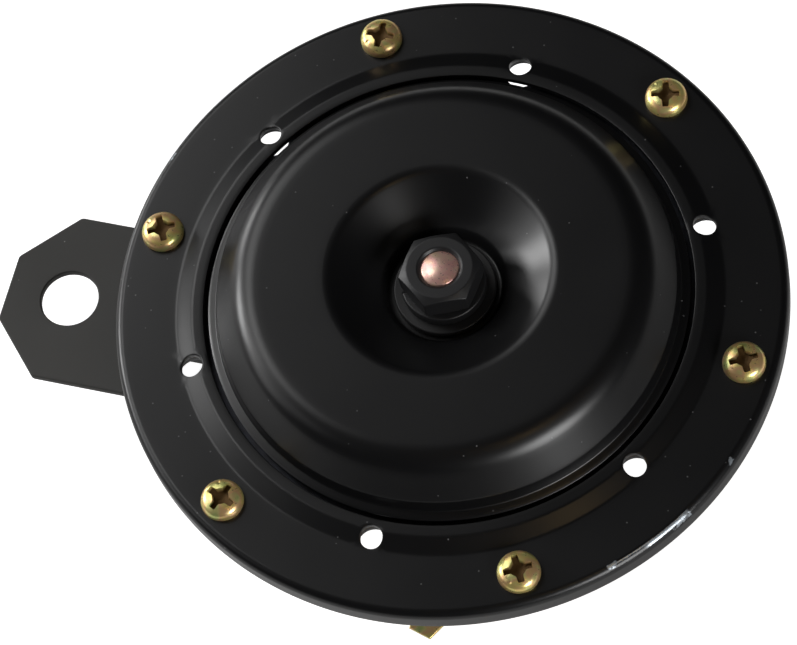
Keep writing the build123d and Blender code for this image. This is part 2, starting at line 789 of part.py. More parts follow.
support_rivet = rivet(rivet_r, rivet_head_r, rivet_head_height, can_rear_z, can_floor_z + support_sheet)
with BuildPart() as support_rivets:
    with Locations(*support_rivets_xy):
        add(support_rivet)
support_rivets.part.label = "support_rivets"
export_step(support_rivets.part, "parts/support_rivets.step")


def breaker_layer(low_z, sheet, width, tip_y, screw_gap):
    """One flat layer of the contact stack: from the shelf's outer edge in to tip_y."""
    back_y = support_outer_y - support_bend
    with BuildPart() as layer:
        with BuildSketch(Plane.XY.offset(low_z)):
            with Locations((0, (back_y + support_inner_y) / 2)):
                RectangleRounded(breaker_width, back_y - support_inner_y, breaker_corner)
            if tip_y < support_inner_y:
                with Locations((0, (tip_y + breaker_screw_y) / 2)):
                    RectangleRounded(width, breaker_screw_y - tip_y, arm_corner)
            with Locations((0, breaker_screw_y)):
                with GridLocations(breaker_screw_pitch, 0, 2, 1):
                    Circle(breaker_screw_r + screw_gap, mode=Mode.SUBTRACT)
        extrude(amount=sheet)
    return layer.part


leaf_z = support_top_z + insulator_sheet
fixed_arm_z = leaf_z + leaf_sheet + spacer_sheet
clamp_z = fixed_arm_z + fixed_arm_sheet + insulator_sheet

lower_insulator = breaker_layer(support_top_z, insulator_sheet, breaker_width, support_inner_y, fit_gap)
lower_insulator.label = "lower_insulator"
export_step(lower_insulator, "parts/lower_insulator.step")

moving_contact_arm = breaker_layer(leaf_z, leaf_sheet, leaf_width, leaf_tip_y, live_gap)
moving_contact_arm.label = "moving_contact_arm"
export_step(moving_contact_arm, "parts/moving_contact_arm.step")

middle_insulator = breaker_layer(leaf_z + leaf_sheet, spacer_sheet, breaker_width, support_inner_y, fit_gap)
middle_insulator.label = "middle_insulator"
export_step(middle_insulator, "parts/middle_insulator.step")

fixed_contact_arm = breaker_layer(fixed_arm_z, fixed_arm_sheet, fixed_arm_width, fixed_arm_tip_y, live_gap)
fixed_contact_arm.label = "fixed_contact_arm"
export_step(fixed_contact_arm, "parts/fixed_contact_arm.step")

upper_insulator = breaker_layer(
    fixed_arm_z + fixed_arm_sheet, insulator_sheet, breaker_width, support_inner_y, fit_gap
)
upper_insulator.label = "upper_insulator"
export_step(upper_insulator, "parts/upper_insulator.step")

breaker_clamp = breaker_layer(clamp_z, clamp_sheet, breaker_width, support_inner_y, fit_gap)
breaker_clamp.label = "breaker_clamp"
export_step(breaker_clamp, "parts/breaker_clamp.step")

contact_height = spacer_sheet / 2
for contact_name, contact_low_z in (
    ("moving_contact", leaf_z + leaf_sheet),
    ("fixed_contact", leaf_z + leaf_sheet + contact_height),
):
    with BuildPart() as contact:
        with BuildSketch(Plane.XY.offset(contact_low_z)):
            with Locations((0, contact_y)):
                Circle(contact_r)
        extrude(amount=contact_height)
    contact.part.label = contact_name
    export_step(contact.part, f"parts/{contact_name}.step")

with BuildPart() as breaker_screws:
    with Locations((0, breaker_screw_y)):
        with GridLocations(breaker_screw_pitch, 0, 2, 1):
            with Locations((0, 0, clamp_z + clamp_sheet)):
                Cylinder(breaker_screw_head_r, breaker_screw_head, align=(Align.CENTER, Align.CENTER, Align.MIN))
            with Locations((0, 0, shelf_under_z - breaker_screw_end)):
                Cylinder(
                    breaker_screw_r,
                    clamp_z + clamp_sheet - shelf_under_z + breaker_screw_end,
                    align=(Align.CENTER, Align.CENTER, Align.MIN),
                )
    with BuildSketch(Plane.XY.offset(clamp_z + clamp_sheet + breaker_screw_head)):
        with Locations((0, breaker_screw_y)):
            with GridLocations(breaker_screw_pitch, 0, 2, 1):
                Rectangle(breaker_slot, 2 * breaker_screw_head_r, rotation=breaker_slot_turn)
    extrude(amount=-breaker_slot_depth, mode=Mode.SUBTRACT)
breaker_screws.part.label = "breaker_screws"
export_step(breaker_screws.part, "parts/breaker_screws.step")

# ---------------------------------------------------------------- adjuster
with BuildPart() as adjuster_bush:
    with BuildSketch(Plane.XZ):
        with BuildLine():
            Polyline(
                (adjuster_r + fit_gap, can_rear_z - adjuster_bush_flange),
                (adjuster_bush_flange_r, can_rear_z - adjuster_bush_flange),
                (adjuster_bush_flange_r, can_rear_z),
                (adjuster_bush_r, can_rear_z),
                (adjuster_bush_r, can_floor_z + adjuster_bush_height),
                (adjuster_r + fit_gap, can_floor_z + adjuster_bush_height),
                close=True,
            )
        make_face()
    revolve(axis=Axis.Z)
adjuster_bush_placed = adjuster_bush.part.translate((0, breaker_screw_y, 0))
adjuster_bush_placed.label = "adjuster_bush"
export_step(adjuster_bush_placed, "parts/adjuster_bush.step")

adjuster_nut_z = can_rear_z - adjuster_bush_flange - adjuster_nut_height
adjuster_locknut = hex_nut(adjuster_nut_flats, adjuster_nut_height, adjuster_r + fit_gap, adjuster_nut_z)
adjuster_locknut = adjuster_locknut.rotate(Axis.Z, adjuster_nut_turn).translate((0, breaker_screw_y, 0))
adjuster_locknut.label = "adjuster_locknut"
export_step(adjuster_locknut, "parts/adjuster_locknut.step")

adjuster_low_z = adjuster_nut_z - adjuster_end
with BuildPart() as adjusting_screw:
    with BuildSketch(Plane.XY.offset(adjuster_low_z)):
        with Locations((0, breaker_screw_y)):
            Circle(adjuster_r)
    extrude(amount=shelf_under_z - adjuster_low_z)
    ends = adjusting_screw.edges().filter_by(GeomType.CIRCLE)
    chamfer(ends, adjuster_chamfer)
    with BuildSketch(Plane.XY.offset(adjuster_low_z)):
        with Locations((0, breaker_screw_y)):
            Rectangle(3 * adjuster_r, adjuster_slot, rotation=adjuster_slot_turn)
    extrude(amount=adjuster_slot_depth, mode=Mode.SUBTRACT)
adjusting_screw.part.label = "adjusting_screw"
export_step(adjusting_screw.part, "parts/adjusting_screw.step")

# ---------------------------------------------------------------- condenser
condenser_low_z = can_floor_z + condenser_clip_sheet + rivet_head_height + condenser_lift
with BuildPart() as condenser:
    with BuildSketch(Plane.XY.offset(condenser_low_z)):
        with Locations(condenser_xy):
            Circle(condenser_r)
    extrude(amount=condenser_length)
    fillet(condenser.edges().filter_by(GeomType.CIRCLE), condenser_bend)
    with BuildSketch(Plane.XY.offset(condenser_low_z + condenser_length)):
        with Locations(condenser_xy):
            Circle(condenser_cap_r)
    extrude(amount=condenser_cap_height)
condenser.part.label = "condenser"
export_step(condenser.part, "parts/condenser.step")

with BuildPart() as condenser_clip:
    with BuildSketch(Plane.XY.offset(can_floor_z)):
        Circle(condenser_r + condenser_clip_sheet)
    extrude(amount=condenser_clip_height)
    fillet(condenser_clip.edges().sort_by(Axis.Z)[0], condenser_clip_bend)
    with BuildSketch(Plane.XY.offset(can_floor_z + condenser_clip_sheet)):
        Circle(condenser_r + condenser_clip_grip)
    extrude(amount=condenser_clip_height, mode=Mode.SUBTRACT)
    with BuildSketch(Plane.XY.offset(can_floor_z - 1)):
        Circle(rivet_r + fit_gap)
    extrude(amount=condenser_clip_sheet + 2, mode=Mode.SUBTRACT)
    with BuildSketch(Plane.XY.offset(can_floor_z + condenser_clip_base)):
        with PolarLocations(condenser_r, 3):
            Rectangle(condenser_r, condenser_clip_slot)
    extrude(amount=condenser_clip_height, mode=Mode.SUBTRACT)
condenser_clip_placed = condenser_clip.part.translate((*condenser_xy, 0))
condenser_clip_placed.label = "condenser_clip"
export_step(condenser_clip_placed, "parts/condenser_clip.step")

condenser_rivet = rivet(
    rivet_r, rivet_head_r, rivet_head_height, can_rear_z, can_floor_z + condenser_clip_sheet
).translate((*condenser_xy, 0))
condenser_rivet.label = "condenser_rivet"
export_step(condenser_rivet, "parts/condenser_rivet.step")


# ---------------------------------------------------------------- terminals
def terminal_plane(height):
    """A plane seen from behind: X across the blades, Y the way they point, normal to the rear."""
    return Plane(origin=(0, 0, height), x_dir=(blade_side.X, blade_side.Y, 0), z_dir=(0, 0, -1))


board_low_side = terminal_side - terminal_pitch - board_inner_margin
board_high_side = terminal_side + board_margin
board_corner_side = board_high_side - 2 * board_margin
board_start = math.sqrt((bracket_hub_r + board_hub_gap) ** 2 - board_corner_side**2)
board_step = bracket_hub_r + board_step_gap
lug_z = can_floor_z + inner_insulator_sheet
with BuildPart() as terminal_board:
    with BuildSketch(terminal_plane(can_rear_z)):
        with BuildLine():
            Polyline(
                (board_high_side, board_start),
                (board_high_side, board_end),
                (board_low_side, board_end),
                (board_low_side, board_step),
                (board_corner_side - board_step_width, board_step),
                (board_corner_side, board_start),
                close=True,
            )
        make_face()
    extrude(amount=board_sheet)
    fillet(terminal_board.edges().filter_by(Axis.Z), board_corner)
    with BuildSketch(terminal_plane(board_rear_z)):
        with Locations((terminal_side - terminal_pitch / 2, (board_step + board_end) / 2)):
            RectangleRounded(board_rib_width, board_end - board_step - 2 * board_rib_inset, board_rib_corner)
    extrude(amount=board_rib_height)
    with BuildSketch(Plane.XY.offset(can_rear_z)):
        with Locations(*terminal_rivets_xy):
            Circle(terminal_sleeve_r)
    extrude(amount=housing_sheet)
    with BuildSketch(terminal_plane(can_floor_z + 1)):
        with Locations(*zip(blade_sides, terminal_rivet_along)):
            Circle(terminal_rivet_r + fit_gap)
    extrude(amount=housing_sheet + board_sheet + 2, mode=Mode.SUBTRACT)
terminal_board.part.label = "terminal_board"
export_step(terminal_board.part, "parts/terminal_board.step")

with BuildPart() as inner_insulator:
    with BuildSketch(Plane.XY.offset(can_floor_z)):
        middle = (Vector(*terminal_rivets_xy[0]) + Vector(*terminal_rivets_xy[1])) / 2
        span = Vector(*terminal_rivets_xy[0]) - Vector(*terminal_rivets_xy[1])
        with Locations((middle.X, middle.Y)):
            SlotCenterToCenter(
                span.length, 2 * (lug_r + lug_margin), rotation=math.degrees(math.atan2(span.Y, span.X))
            )
        with Locations(*terminal_rivets_xy):
            Circle(terminal_rivet_r + fit_gap, mode=Mode.SUBTRACT)
    extrude(amount=inner_insulator_sheet)
inner_insulator.part.label = "inner_insulator"
export_step(inner_insulator.part, "parts/inner_insulator.step")

for number, (side, along) in enumerate(zip(blade_sides, terminal_rivet_along), start=1):
    with BuildPart() as blade:
        with BuildSketch(terminal_plane(board_rear_z)):
            with BuildLine():
                half = blade_width / 2
                tip_half = blade_tip_width / 2
                Polyline(
                    (side - half, along),
                    (side - half, blade_end - blade_taper),
                    (side - tip_half, blade_end),
                    (side + tip_half, blade_end),
                    (side + half, blade_end - blade_taper),
                    (side + half, along),
                )
                ThreePointArc((side + half, along), (side, along - half), (side - half, along))
            make_face()
            with Locations((side, along)):
                Circle(terminal_rivet_r + fit_gap, mode=Mode.SUBTRACT)
            with Locations((side, blade_end - blade_hole_back)):
                Circle(blade_hole_r, mode=Mode.SUBTRACT)
        extrude(amount=blade_sheet)
    blade.part.label = f"blade_terminal_{number}"
    export_step(blade.part, f"parts/blade_terminal_{number}.step")

    with BuildPart() as lug:
        with BuildSketch(Plane.XY.offset(lug_z)):
            with Locations(terminal_point(side, along)):
                Circle(lug_r)
            with Locations(terminal_point(side - lug_tail / 2, along)):
                Rectangle(lug_tail, lug_tail_width, rotation=terminal_angle + 90)
            with Locations(terminal_point(side, along)):
                Circle(terminal_rivet_r + fit_gap, mode=Mode.SUBTRACT)
        extrude(amount=lug_sheet)
    lug.part.label = f"terminal_lug_{number}"
    export_step(lug.part, f"parts/terminal_lug_{number}.step")

    terminal_rivet = rivet(
        terminal_rivet_r, rivet_head_r, rivet_head_height, blade_rear_z, lug_z + lug_sheet
    ).translate((*terminal_point(side, along), 0))
    terminal_rivet.label = f"terminal_rivet_{number}"
    export_step(terminal_rivet, f"parts/terminal_rivet_{number}.step")

# ---------------------------------------------------------------- lead wires
lug_tails = [terminal_point(side - lug_tail, along) for side, along in zip(blade_sides, terminal_rivet_along)]
lug_top_z = lug_z + lug_sheet
lead_low_z = lug_top_z + lead_lift
arm_side_x = breaker_width / 2
fixed_arm_mid_z = fixed_arm_z + fixed_arm_sheet / 2
leaf_mid_z = leaf_z + leaf_sheet / 2
yoke_lead_x = yoke_outer_x + yoke_lead_gap
yoke_lead_y = yoke_width / 2 + yoke_lead_overlap
coil_side_r = winding_r + winding_swell * turn_pitch + winding_clearance
coil_lead_z = winding_high_z - coil_lead_drop
coil_lead_start = rear_points(lead_angle, coil_side_r)
coil_lead_turn = rear_points(lead_angle, bobbin_flange_r + coil_lead_reach)
coil_lead_y = breaker_screw_y - lead_spacing / 2
condenser_lead_y = breaker_screw_y + lead_spacing / 2
lug_angle = math.degrees(math.atan2(lug_tails[0][1], lug_tails[0][0]))

lead_routes = {
    # from the winding's side to the first lug
    "coil_start_lead": [
        (*rear_points(lug_angle, coil_side_r), lead_low_z),
        (*lug_tails[0], lead_low_z),
        (*lug_tails[0], lug_top_z),
    ],
    # from the top of the winding to the fixed contact arm
    "coil_end_lead": [
        (*coil_lead_start, coil_lead_z),
        (*coil_lead_turn, coil_lead_z),
        (*coil_lead_turn, fixed_arm_mid_z),
        (coil_lead_turn[0], coil_lead_y, fixed_arm_mid_z),
        (arm_side_x, coil_lead_y, fixed_arm_mid_z),
    ],
    # from the moving contact arm down and round the yoke to the second lug
    "contact_lead": [
        (-arm_side_x, coil_lead_y, leaf_mid_z),
        (-coil_lead_turn[0], coil_lead_y, leaf_mid_z),
        (-coil_lead_turn[0], coil_lead_y, lead_low_z),
        (-yoke_lead_x, yoke_lead_y, lead_low_z),
        (-yoke_lead_x, -yoke_lead_y, lead_low_z),
        (*lug_tails[1], lead_low_z),
        (*lug_tails[1], lug_top_z),
    ],
    # from the condenser's cap round the yoke to the fixed contact arm
    "condenser_lead": [
        (*condenser_xy, condenser_low_z + condenser_length + condenser_cap_height),
        (*condenser_xy, fixed_arm_mid_z),
        (yoke_lead_x, -yoke_lead_y, fixed_arm_mid_z),
        (yoke_lead_x, yoke_lead_y, fixed_arm_mid_z),
        (arm_side_x + lead_reach, condenser_lead_y, fixed_arm_mid_z),
        (arm_side_x, condenser_lead_y, fixed_arm_mid_z),
    ],
}
for lead_name, route in lead_routes.items():
    with BuildPart() as lead:
        with BuildLine():
            path = FilletPolyline(*route, radius=lead_bend)
        with BuildSketch(Plane(origin=path @ 0, z_dir=path % 0)):
            Circle(lead_r)
        sweep(path=path)
    lead.part.label = lead_name
    export_step(lead.part, f"parts/{lead_name}.step")

# ---------------------------------------------------------------- mounting bracket and its fasteners
with BuildPart() as mounting_bracket:
    with BuildSketch(Plane.XY.offset(bracket_rear_z)) as bracket_outline:
        with BuildLine():
            side = FilletPolyline(
                (0, bracket_neck_half),
                (bracket_neck_inset - ring_r, bracket_neck_half),
                (-ring_r, bracket_half_width),
                (bracket_chamfer - bracket_reach, bracket_half_width),
                radius=bracket_neck_bend,
            )
            Polyline(side @ 1, (-bracket_reach, bracket_end_half), (-bracket_reach, 0))
            mirror(about=Plane.XZ)
            Line((0, bracket_neck_half), (0, -bracket_neck_half))
        make_face()
        Circle(bracket_hub_r)
        hub_corners = bracket_outline.vertices().filter_by(
            lambda corner: corner.X < 0 and abs(math.hypot(corner.X, corner.Y) - bracket_hub_r) < 0.01
        )
        fillet(hub_corners, bracket_neck_bend)
        Circle(bore_r, mode=Mode.SUBTRACT)
        with Locations((-bracket_hole_x, 0)):
            Circle(bracket_hole_r, mode=Mode.SUBTRACT)
    extrude(amount=bracket_sheet)
mounting_bracket.part.label = "mounting_bracket"
export_step(mounting_bracket.part, "parts/mounting_bracket.step")

bracket_washer = flat_washer(bracket_washer_r, stud_r + washer_clearance, plain_washer_height, bracket_washer_z)
bracket_washer.label = "bracket_washer"
export_step(bracket_washer, "parts/bracket_washer.step")

bracket_spring_washer = spring_washer(
    spring_washer_r, bore_r, spring_washer_height, bracket_nut_top_z, 70
)
bracket_spring_washer.label = "bracket_spring_washer"
export_step(bracket_spring_washer, "parts/bracket_spring_washer.step")

bracket_nut = hex_nut(nut_flats, nut_height, stud_r + fit_gap, bracket_nut_z)
bracket_nut.label = "bracket_nut"
export_step(bracket_nut, "parts/bracket_nut.step")
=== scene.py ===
# %% [markdown]
# # A vehicle disc horn
# The horn is a pressed can that holds an electromagnet, a steel diaphragm clamped under a rim ring, and
# a tone disc on the diaphragm's stud. Its construction is loaded as a fixed frame, in metres: +Z points
# out of the front and z = 0 is the ring's flat face. This lesson dresses that frame.
# We keep the box of the plain model, to lay the floor just under it.

# %% Load the frame
import json
import math

import bmesh
import bpy
from mathutils import Matrix, Vector


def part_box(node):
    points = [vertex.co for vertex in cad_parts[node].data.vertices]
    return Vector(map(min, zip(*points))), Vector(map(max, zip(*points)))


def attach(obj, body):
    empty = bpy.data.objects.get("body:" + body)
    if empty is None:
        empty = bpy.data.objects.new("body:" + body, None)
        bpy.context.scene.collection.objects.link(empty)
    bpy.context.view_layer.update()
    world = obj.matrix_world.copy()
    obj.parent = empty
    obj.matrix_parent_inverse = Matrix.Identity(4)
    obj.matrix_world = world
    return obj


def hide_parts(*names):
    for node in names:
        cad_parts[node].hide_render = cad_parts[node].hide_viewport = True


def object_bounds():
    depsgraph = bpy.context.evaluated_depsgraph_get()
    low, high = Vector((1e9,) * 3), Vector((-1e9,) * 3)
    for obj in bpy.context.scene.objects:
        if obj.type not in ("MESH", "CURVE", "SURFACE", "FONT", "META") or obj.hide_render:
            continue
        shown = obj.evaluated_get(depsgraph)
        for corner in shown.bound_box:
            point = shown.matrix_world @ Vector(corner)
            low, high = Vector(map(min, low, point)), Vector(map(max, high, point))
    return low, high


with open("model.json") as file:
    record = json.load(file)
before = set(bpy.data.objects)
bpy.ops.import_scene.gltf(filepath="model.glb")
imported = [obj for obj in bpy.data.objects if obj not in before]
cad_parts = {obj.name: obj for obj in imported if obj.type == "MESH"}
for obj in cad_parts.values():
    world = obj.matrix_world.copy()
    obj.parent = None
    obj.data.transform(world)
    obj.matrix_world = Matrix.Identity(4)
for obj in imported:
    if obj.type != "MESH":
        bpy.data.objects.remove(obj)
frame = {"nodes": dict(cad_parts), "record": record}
cad_low, cad_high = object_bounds()
mm = 0.001
nodes = frame["nodes"]
for plain_material in list(bpy.data.materials):   # the plain model's flat colours, which new finishes replace
    bpy.data.materials.remove(plain_material)

# %% [markdown]
# ## Camera
# A camera can be placed by matrices, but a reader can't picture those. Here it is placed as on a boom:
# a point to aim at, how far away it stands, its compass angle and height, and a roll about its own axis.
# A long lens keeps the circle of screws nearly round.

# %% Place the camera
AIM = Vector((-10.19, -7.09, 0.0)) * mm
CAMERA_DISTANCE = 0.659
CAMERA_AZIMUTH = 32.0
CAMERA_HEIGHT = 64.05
CAMERA_ROLL = 18.76
CAMERA_LENS = 168.67
CAMERA_SHIFT = 0.0201


def direction(azimuth, elevation):
    """The way from the object to a point seen at that compass angle and height. Azimuth 0 is -Y."""
    turn, rise = math.radians(azimuth), math.radians(elevation)
    return Vector((math.sin(turn) * math.cos(rise), -math.cos(turn) * math.cos(rise), math.sin(rise)))


camera_data = bpy.data.cameras.new("camera")
camera_data.lens = CAMERA_LENS
camera_data.shift_x = CAMERA_SHIFT
camera = bpy.data.objects.new("camera", camera_data)
bpy.context.scene.collection.objects.link(camera)
boom = direction(CAMERA_AZIMUTH, CAMERA_HEIGHT)
roll = Matrix.Rotation(math.radians(-CAMERA_ROLL), 4, "Z")
facing = boom.to_track_quat("Z", "Y").to_matrix().to_4x4() @ roll
camera.matrix_world = Matrix.Translation(AIM + boom * CAMERA_DISTANCE) @ facing
bpy.context.scene.camera = camera
print("camera at", [round(x, 3) for x in camera.location])

# %% [markdown]
# ## Materials by name
# A shader tree is easier to read when each line says what it does, so a few helpers make a node, give it
# its values by name, and link it. A value may be a plain number or another node's output.

# %% Helpers for shader trees


def new_material(name):
    """An empty material, its node tree, and its output node."""
    material = bpy.data.materials.new(name)
    material.use_nodes = True
    material.node_tree.nodes.clear()
    output = material.node_tree.nodes.new("ShaderNodeOutputMaterial")
    output.location = (900, 0)
    return material, material.node_tree, output


def feed(tree, socket, value):
    """Gives a socket its value: another node's output, or a plain number or colour."""
    if isinstance(value, bpy.types.NodeSocket):
        tree.links.new(value, socket)
    else:
        socket.default_value = value


def add_node(tree, kind, **inputs):
    """A new shader node with its inputs fed by name."""
    node = tree.nodes.new("ShaderNode" + kind)
    for name, value in inputs.items():
        feed(tree, node.inputs[name.replace("_", " ")], value)
    return node


def math_node(tree, operation, first, second=0.0, third=0.0, clamp=False):
    """The result of a Math node."""
    node = tree.nodes.new("ShaderNodeMath")
    node.operation = operation
    node.use_clamp = clamp
    for socket, value in zip(node.inputs, (first, second, third)):
        feed(tree, socket, value)
    return node.outputs[0]


def mix_color(tree, factor, first, second):
    """A colour between two colours."""
    node = tree.nodes.new("ShaderNodeMix")
    node.data_type = "RGBA"
    for socket, value in zip((node.inputs[0], node.inputs[6], node.inputs[7]), (factor, first, second)):
        feed(tree, socket, value)
    return node.outputs[2]


def spread(tree, value, low, high, from_low=0.0, from_high=1.0):
    """A value stretched to run from low to high."""
    return add_node(tree, "MapRange", Value=value, From_Min=from_low, From_Max=from_high,
                    To_Min=low, To_Max=high).outputs[0]


# %% [markdown]
# ## Floor and room
# Black gloss paint shows what stands round it more than its own colour. A white room would wash it
# grey, so the room gives no light: only what the camera itself sees of it is white. The floor is white
# for the camera, keeps a little of its glow in reflections, and takes the horn's soft shadow. Seen from
# below it is clear, so that the back of the horn can be looked at.

# %% Make the floor
FLOOR_GAP = 3.0 * mm
FLOOR_SIZE = 8.0
FLOOR_COLOR = (0.86, 0.86, 0.86, 1.0)
FLOOR_GLOW = 0.86
REFLECTED_SHARE = 0.1      # of the floor's glow, in reflections


floor_material, tree, output = new_material("pale_floor")
path = tree.nodes.new("ShaderNodeLightPath")
in_reflections = math_node(tree, "MULTIPLY", path.outputs["Is Glossy Ray"], REFLECTED_SHARE)
seen = math_node(tree, "MAXIMUM", path.outputs["Is Camera Ray"], in_reflections)
seen = math_node(tree, "MAXIMUM", seen, path.outputs["Is Transmission Ray"])
floor_paint = add_node(tree, "BsdfDiffuse", Color=FLOOR_COLOR)
floor_glow = add_node(tree, "Emission", Strength=math_node(tree, "MULTIPLY", seen, FLOOR_GLOW))
floor_top = tree.nodes.new("ShaderNodeAddShader")
clear = tree.nodes.new("ShaderNodeBsdfTransparent")
underside = tree.nodes.new("ShaderNodeNewGeometry")
floor_sides = tree.nodes.new("ShaderNodeMixShader")
feed(tree, floor_top.inputs[0], floor_paint.outputs[0])
feed(tree, floor_top.inputs[1], floor_glow.outputs[0])
feed(tree, floor_sides.inputs[0], underside.outputs["Backfacing"])
feed(tree, floor_sides.inputs[1], floor_top.outputs[0])
feed(tree, floor_sides.inputs[2], clear.outputs[0])
feed(tree, output.inputs["Surface"], floor_sides.outputs[0])

floor_mesh = bpy.data.meshes.new("floor")
half = FLOOR_SIZE / 2
floor_level = cad_low.z - FLOOR_GAP
floor_corners = [(-half, -half, floor_level), (half, -half, floor_level),
                 (half, half, floor_level), (-half, half, floor_level)]
floor_mesh.from_pydata(floor_corners, [], [(0, 1, 2, 3)])
floor_mesh.materials.append(floor_material)
floor = bpy.data.objects.new("floor", floor_mesh)
bpy.context.scene.collection.objects.link(floor)

print("floor level", round(floor_level, 4))

# %% Make the room
room = bpy.data.worlds.new("room")
room.use_nodes = True
bpy.context.scene.world = room
background = room.node_tree.nodes["Background"]
background.inputs["Color"].default_value = (1.0, 1.0, 1.0, 1.0)
path = room.node_tree.nodes.new("ShaderNodeLightPath")
room.node_tree.links.new(path.outputs["Is Camera Ray"], background.inputs["Strength"])
print("room", room.name)

# %% [markdown]
# ## Lamps
# A black pressing is drawn by its highlights. One window at the left gives nearly all of them, and it is
# built here from soft round lamps, because each height of it lights another bend: the high ones draw the
# flat faces, the low ones the recess's far wall and the ring's band. A low lamp at the right draws the
# shoulder's near side, and a small warm one leaves a gleam on the band. Each lamp is a row of a table:
# name, compass angle, height, width, power, distance and tint.

# %% Place the lamps
FAR = 1.1
CLOSE = 0.36
WHITE = (1.0, 1.0, 1.0)
WARM = (1.0, 0.66, 0.26)
LAMPS = [
    ("window_high", -105, 55, 0.36, 1.25, FAR, WHITE),
    ("window_near", -135, 55, 0.36, 0.19, FAR, WHITE),
    ("window_middle", -90, 38, 0.36, 0.80, FAR, WHITE),
    ("window_middle_near", -120, 38, 0.36, 0.45, FAR, WHITE),
    ("window_low", -94, 20, 0.30, 3.4, FAR, WHITE),
    ("window_low_near", -114, 7, 0.30, 1.6, FAR, WHITE),
    ("window_low_far", -74, 22, 0.40, 0.7, FAR, WHITE),
    ("window_far", -60, 38, 0.36, 0.17, FAR, WHITE),
    ("window_close", -126, 40, 0.18, 0.10, CLOSE, WHITE),
    ("overhead_far", 180, 72, 0.36, 0.03, FAR, WHITE),
    ("low_right", 54, 24, 0.50, 6.5, FAR, WHITE),
    ("right_high", 58, 50, 0.40, 0.10, FAR, WHITE),
    ("warm_right", 54, 66, 0.12, 0.18, FAR, WARM),
]
for name, azimuth, elevation, width, power, distance, tint in LAMPS:
    lamp_data = bpy.data.lights.new(name, "AREA")
    lamp_data.shape = "DISK"
    lamp_data.size = width
    lamp_data.energy = power
    lamp_data.color = tint
    lamp = bpy.data.objects.new(name, lamp_data)
    bpy.context.scene.collection.objects.link(lamp)
    way = direction(azimuth, elevation)
    lamp.location = way * distance
    lamp.rotation_euler = way.to_track_quat("Z", "Y").to_euler()
    lamp.visible_camera = False
print("lamps", len(LAMPS))

# %% [markdown]
# ## Shared effects
# Orange peel, dust and rubbed edges turn up on several finishes, so each is a shader node group that is
# built once. A group hands out only masks, colours and normals; the shader stays in the material.

# %% Helpers for groups


def new_group(name, inputs, outputs):
    """A shader node group. inputs are socket names with their values, outputs with their kinds."""
    group = bpy.data.node_groups.new(name, "ShaderNodeTree")
    for socket_name, value in inputs.items():
        socket = group.interface.new_socket(socket_name, in_out="INPUT", socket_type="NodeSocketFloat")
        socket.default_value = value
    for socket_name, kind in outputs.items():
        group.interface.new_socket(socket_name, in_out="OUTPUT", socket_type="NodeSocket" + kind)
    given = group.nodes.new("NodeGroupInput").outputs
    return group, given, group.nodes.new("NodeGroupOutput")


def own_place(tree):
    """The place in the horn's own coordinates, so that an effect rides with its piece."""
    return tree.nodes.new("ShaderNodeTexCoord").outputs["Object"]


def object_noise(tree, scale, detail=2.0, roughness=0.5):
    """Noise in the horn's own coordinates. Scale is per metre."""
    return add_node(tree, "TexNoise", Vector=own_place(tree), Scale=scale, Detail=detail,
                    Roughness=roughness).outputs["Fac"]


# %% Build the groups for orange peel and dust
PEEL_DEPTH = 0.00001
SPECK_SIZE = 0.16          # of a cell

group, given, made = new_group("orange_peel", {"Scale": 900.0, "Strength": 0.3}, {"Normal": "Vector"})
peel = add_node(group, "Bump", Height=object_noise(group, given["Scale"], 1.0), Distance=PEEL_DEPTH,
                Strength=given["Strength"])
feed(group, made.inputs["Normal"], peel.outputs["Normal"])

group, given, made = new_group("dust", {"Density": 0.5, "Size": 1100.0}, {"Specks": "Float"})
cells = add_node(group, "TexVoronoi", Vector=own_place(group), Scale=given["Size"])
near_middle = math_node(group, "LESS_THAN", cells.outputs["Distance"], SPECK_SIZE)
pick = add_node(group, "SeparateColor", Color=cells.outputs["Color"])
chosen = math_node(group, "LESS_THAN", pick.outputs[0], given["Density"])
feed(group, made.inputs["Specks"], math_node(group, "MULTIPLY", near_middle, chosen))

# %% [markdown]
# A rub is a patch at one compass angle and one distance from the axis. Inside it the paint is gone where
# the patch's fading middle is stronger than fine noise, so that its border breaks up into scratches.

# %% Build the group for rubbed edges
SCRATCH_SCALE = 1400.0
RUB_STEEPNESS = 4.0

group, given, made = new_group(
    "rubbed_edge",
    {"Angle": 0.0, "Half Width": 0.1, "Radius": 0.059, "Reach": 0.0005, "Grain": 0.5},
    {"Bare": "Float"},
)


def minus(first, second):
    return math_node(group, "SUBTRACT", first, second)


parts = add_node(group, "SeparateXYZ", Vector=own_place(group)).outputs
around = math_node(group, "ARCTAN2", parts["Y"], parts["X"])
off_angle = math_node(group, "ABSOLUTE", minus(around, given["Angle"]))
squares = [math_node(group, "POWER", parts[axis], 2.0) for axis in "XY"]
from_axis = math_node(group, "SQRT", math_node(group, "ADD", *squares))
off_edge = math_node(group, "ABSOLUTE", minus(from_axis, given["Radius"]))
off_middle = math_node(group, "MAXIMUM", math_node(group, "DIVIDE", off_angle, given["Half Width"]),
                       math_node(group, "DIVIDE", off_edge, given["Reach"]))
broken = math_node(group, "MULTIPLY", object_noise(group, SCRATCH_SCALE, 3.0), given["Grain"])
left_over = minus(minus(1.0, off_middle), broken)
feed(group, made.inputs["Bare"], math_node(group, "MULTIPLY", left_over, RUB_STEEPNESS, clamp=True))
print("groups", [g.name for g in bpy.data.node_groups])

# %% [markdown]
# ## Finishes
# Each finish is one Principled shader. What is the same all over is set on the shader's own sockets, and
# only what changes over the surface is linked. Nearly all of them need the same three things: a colour
# that varies, a gloss that varies, and orange peel, so one helper joins those up.

# %% Helpers for finishes


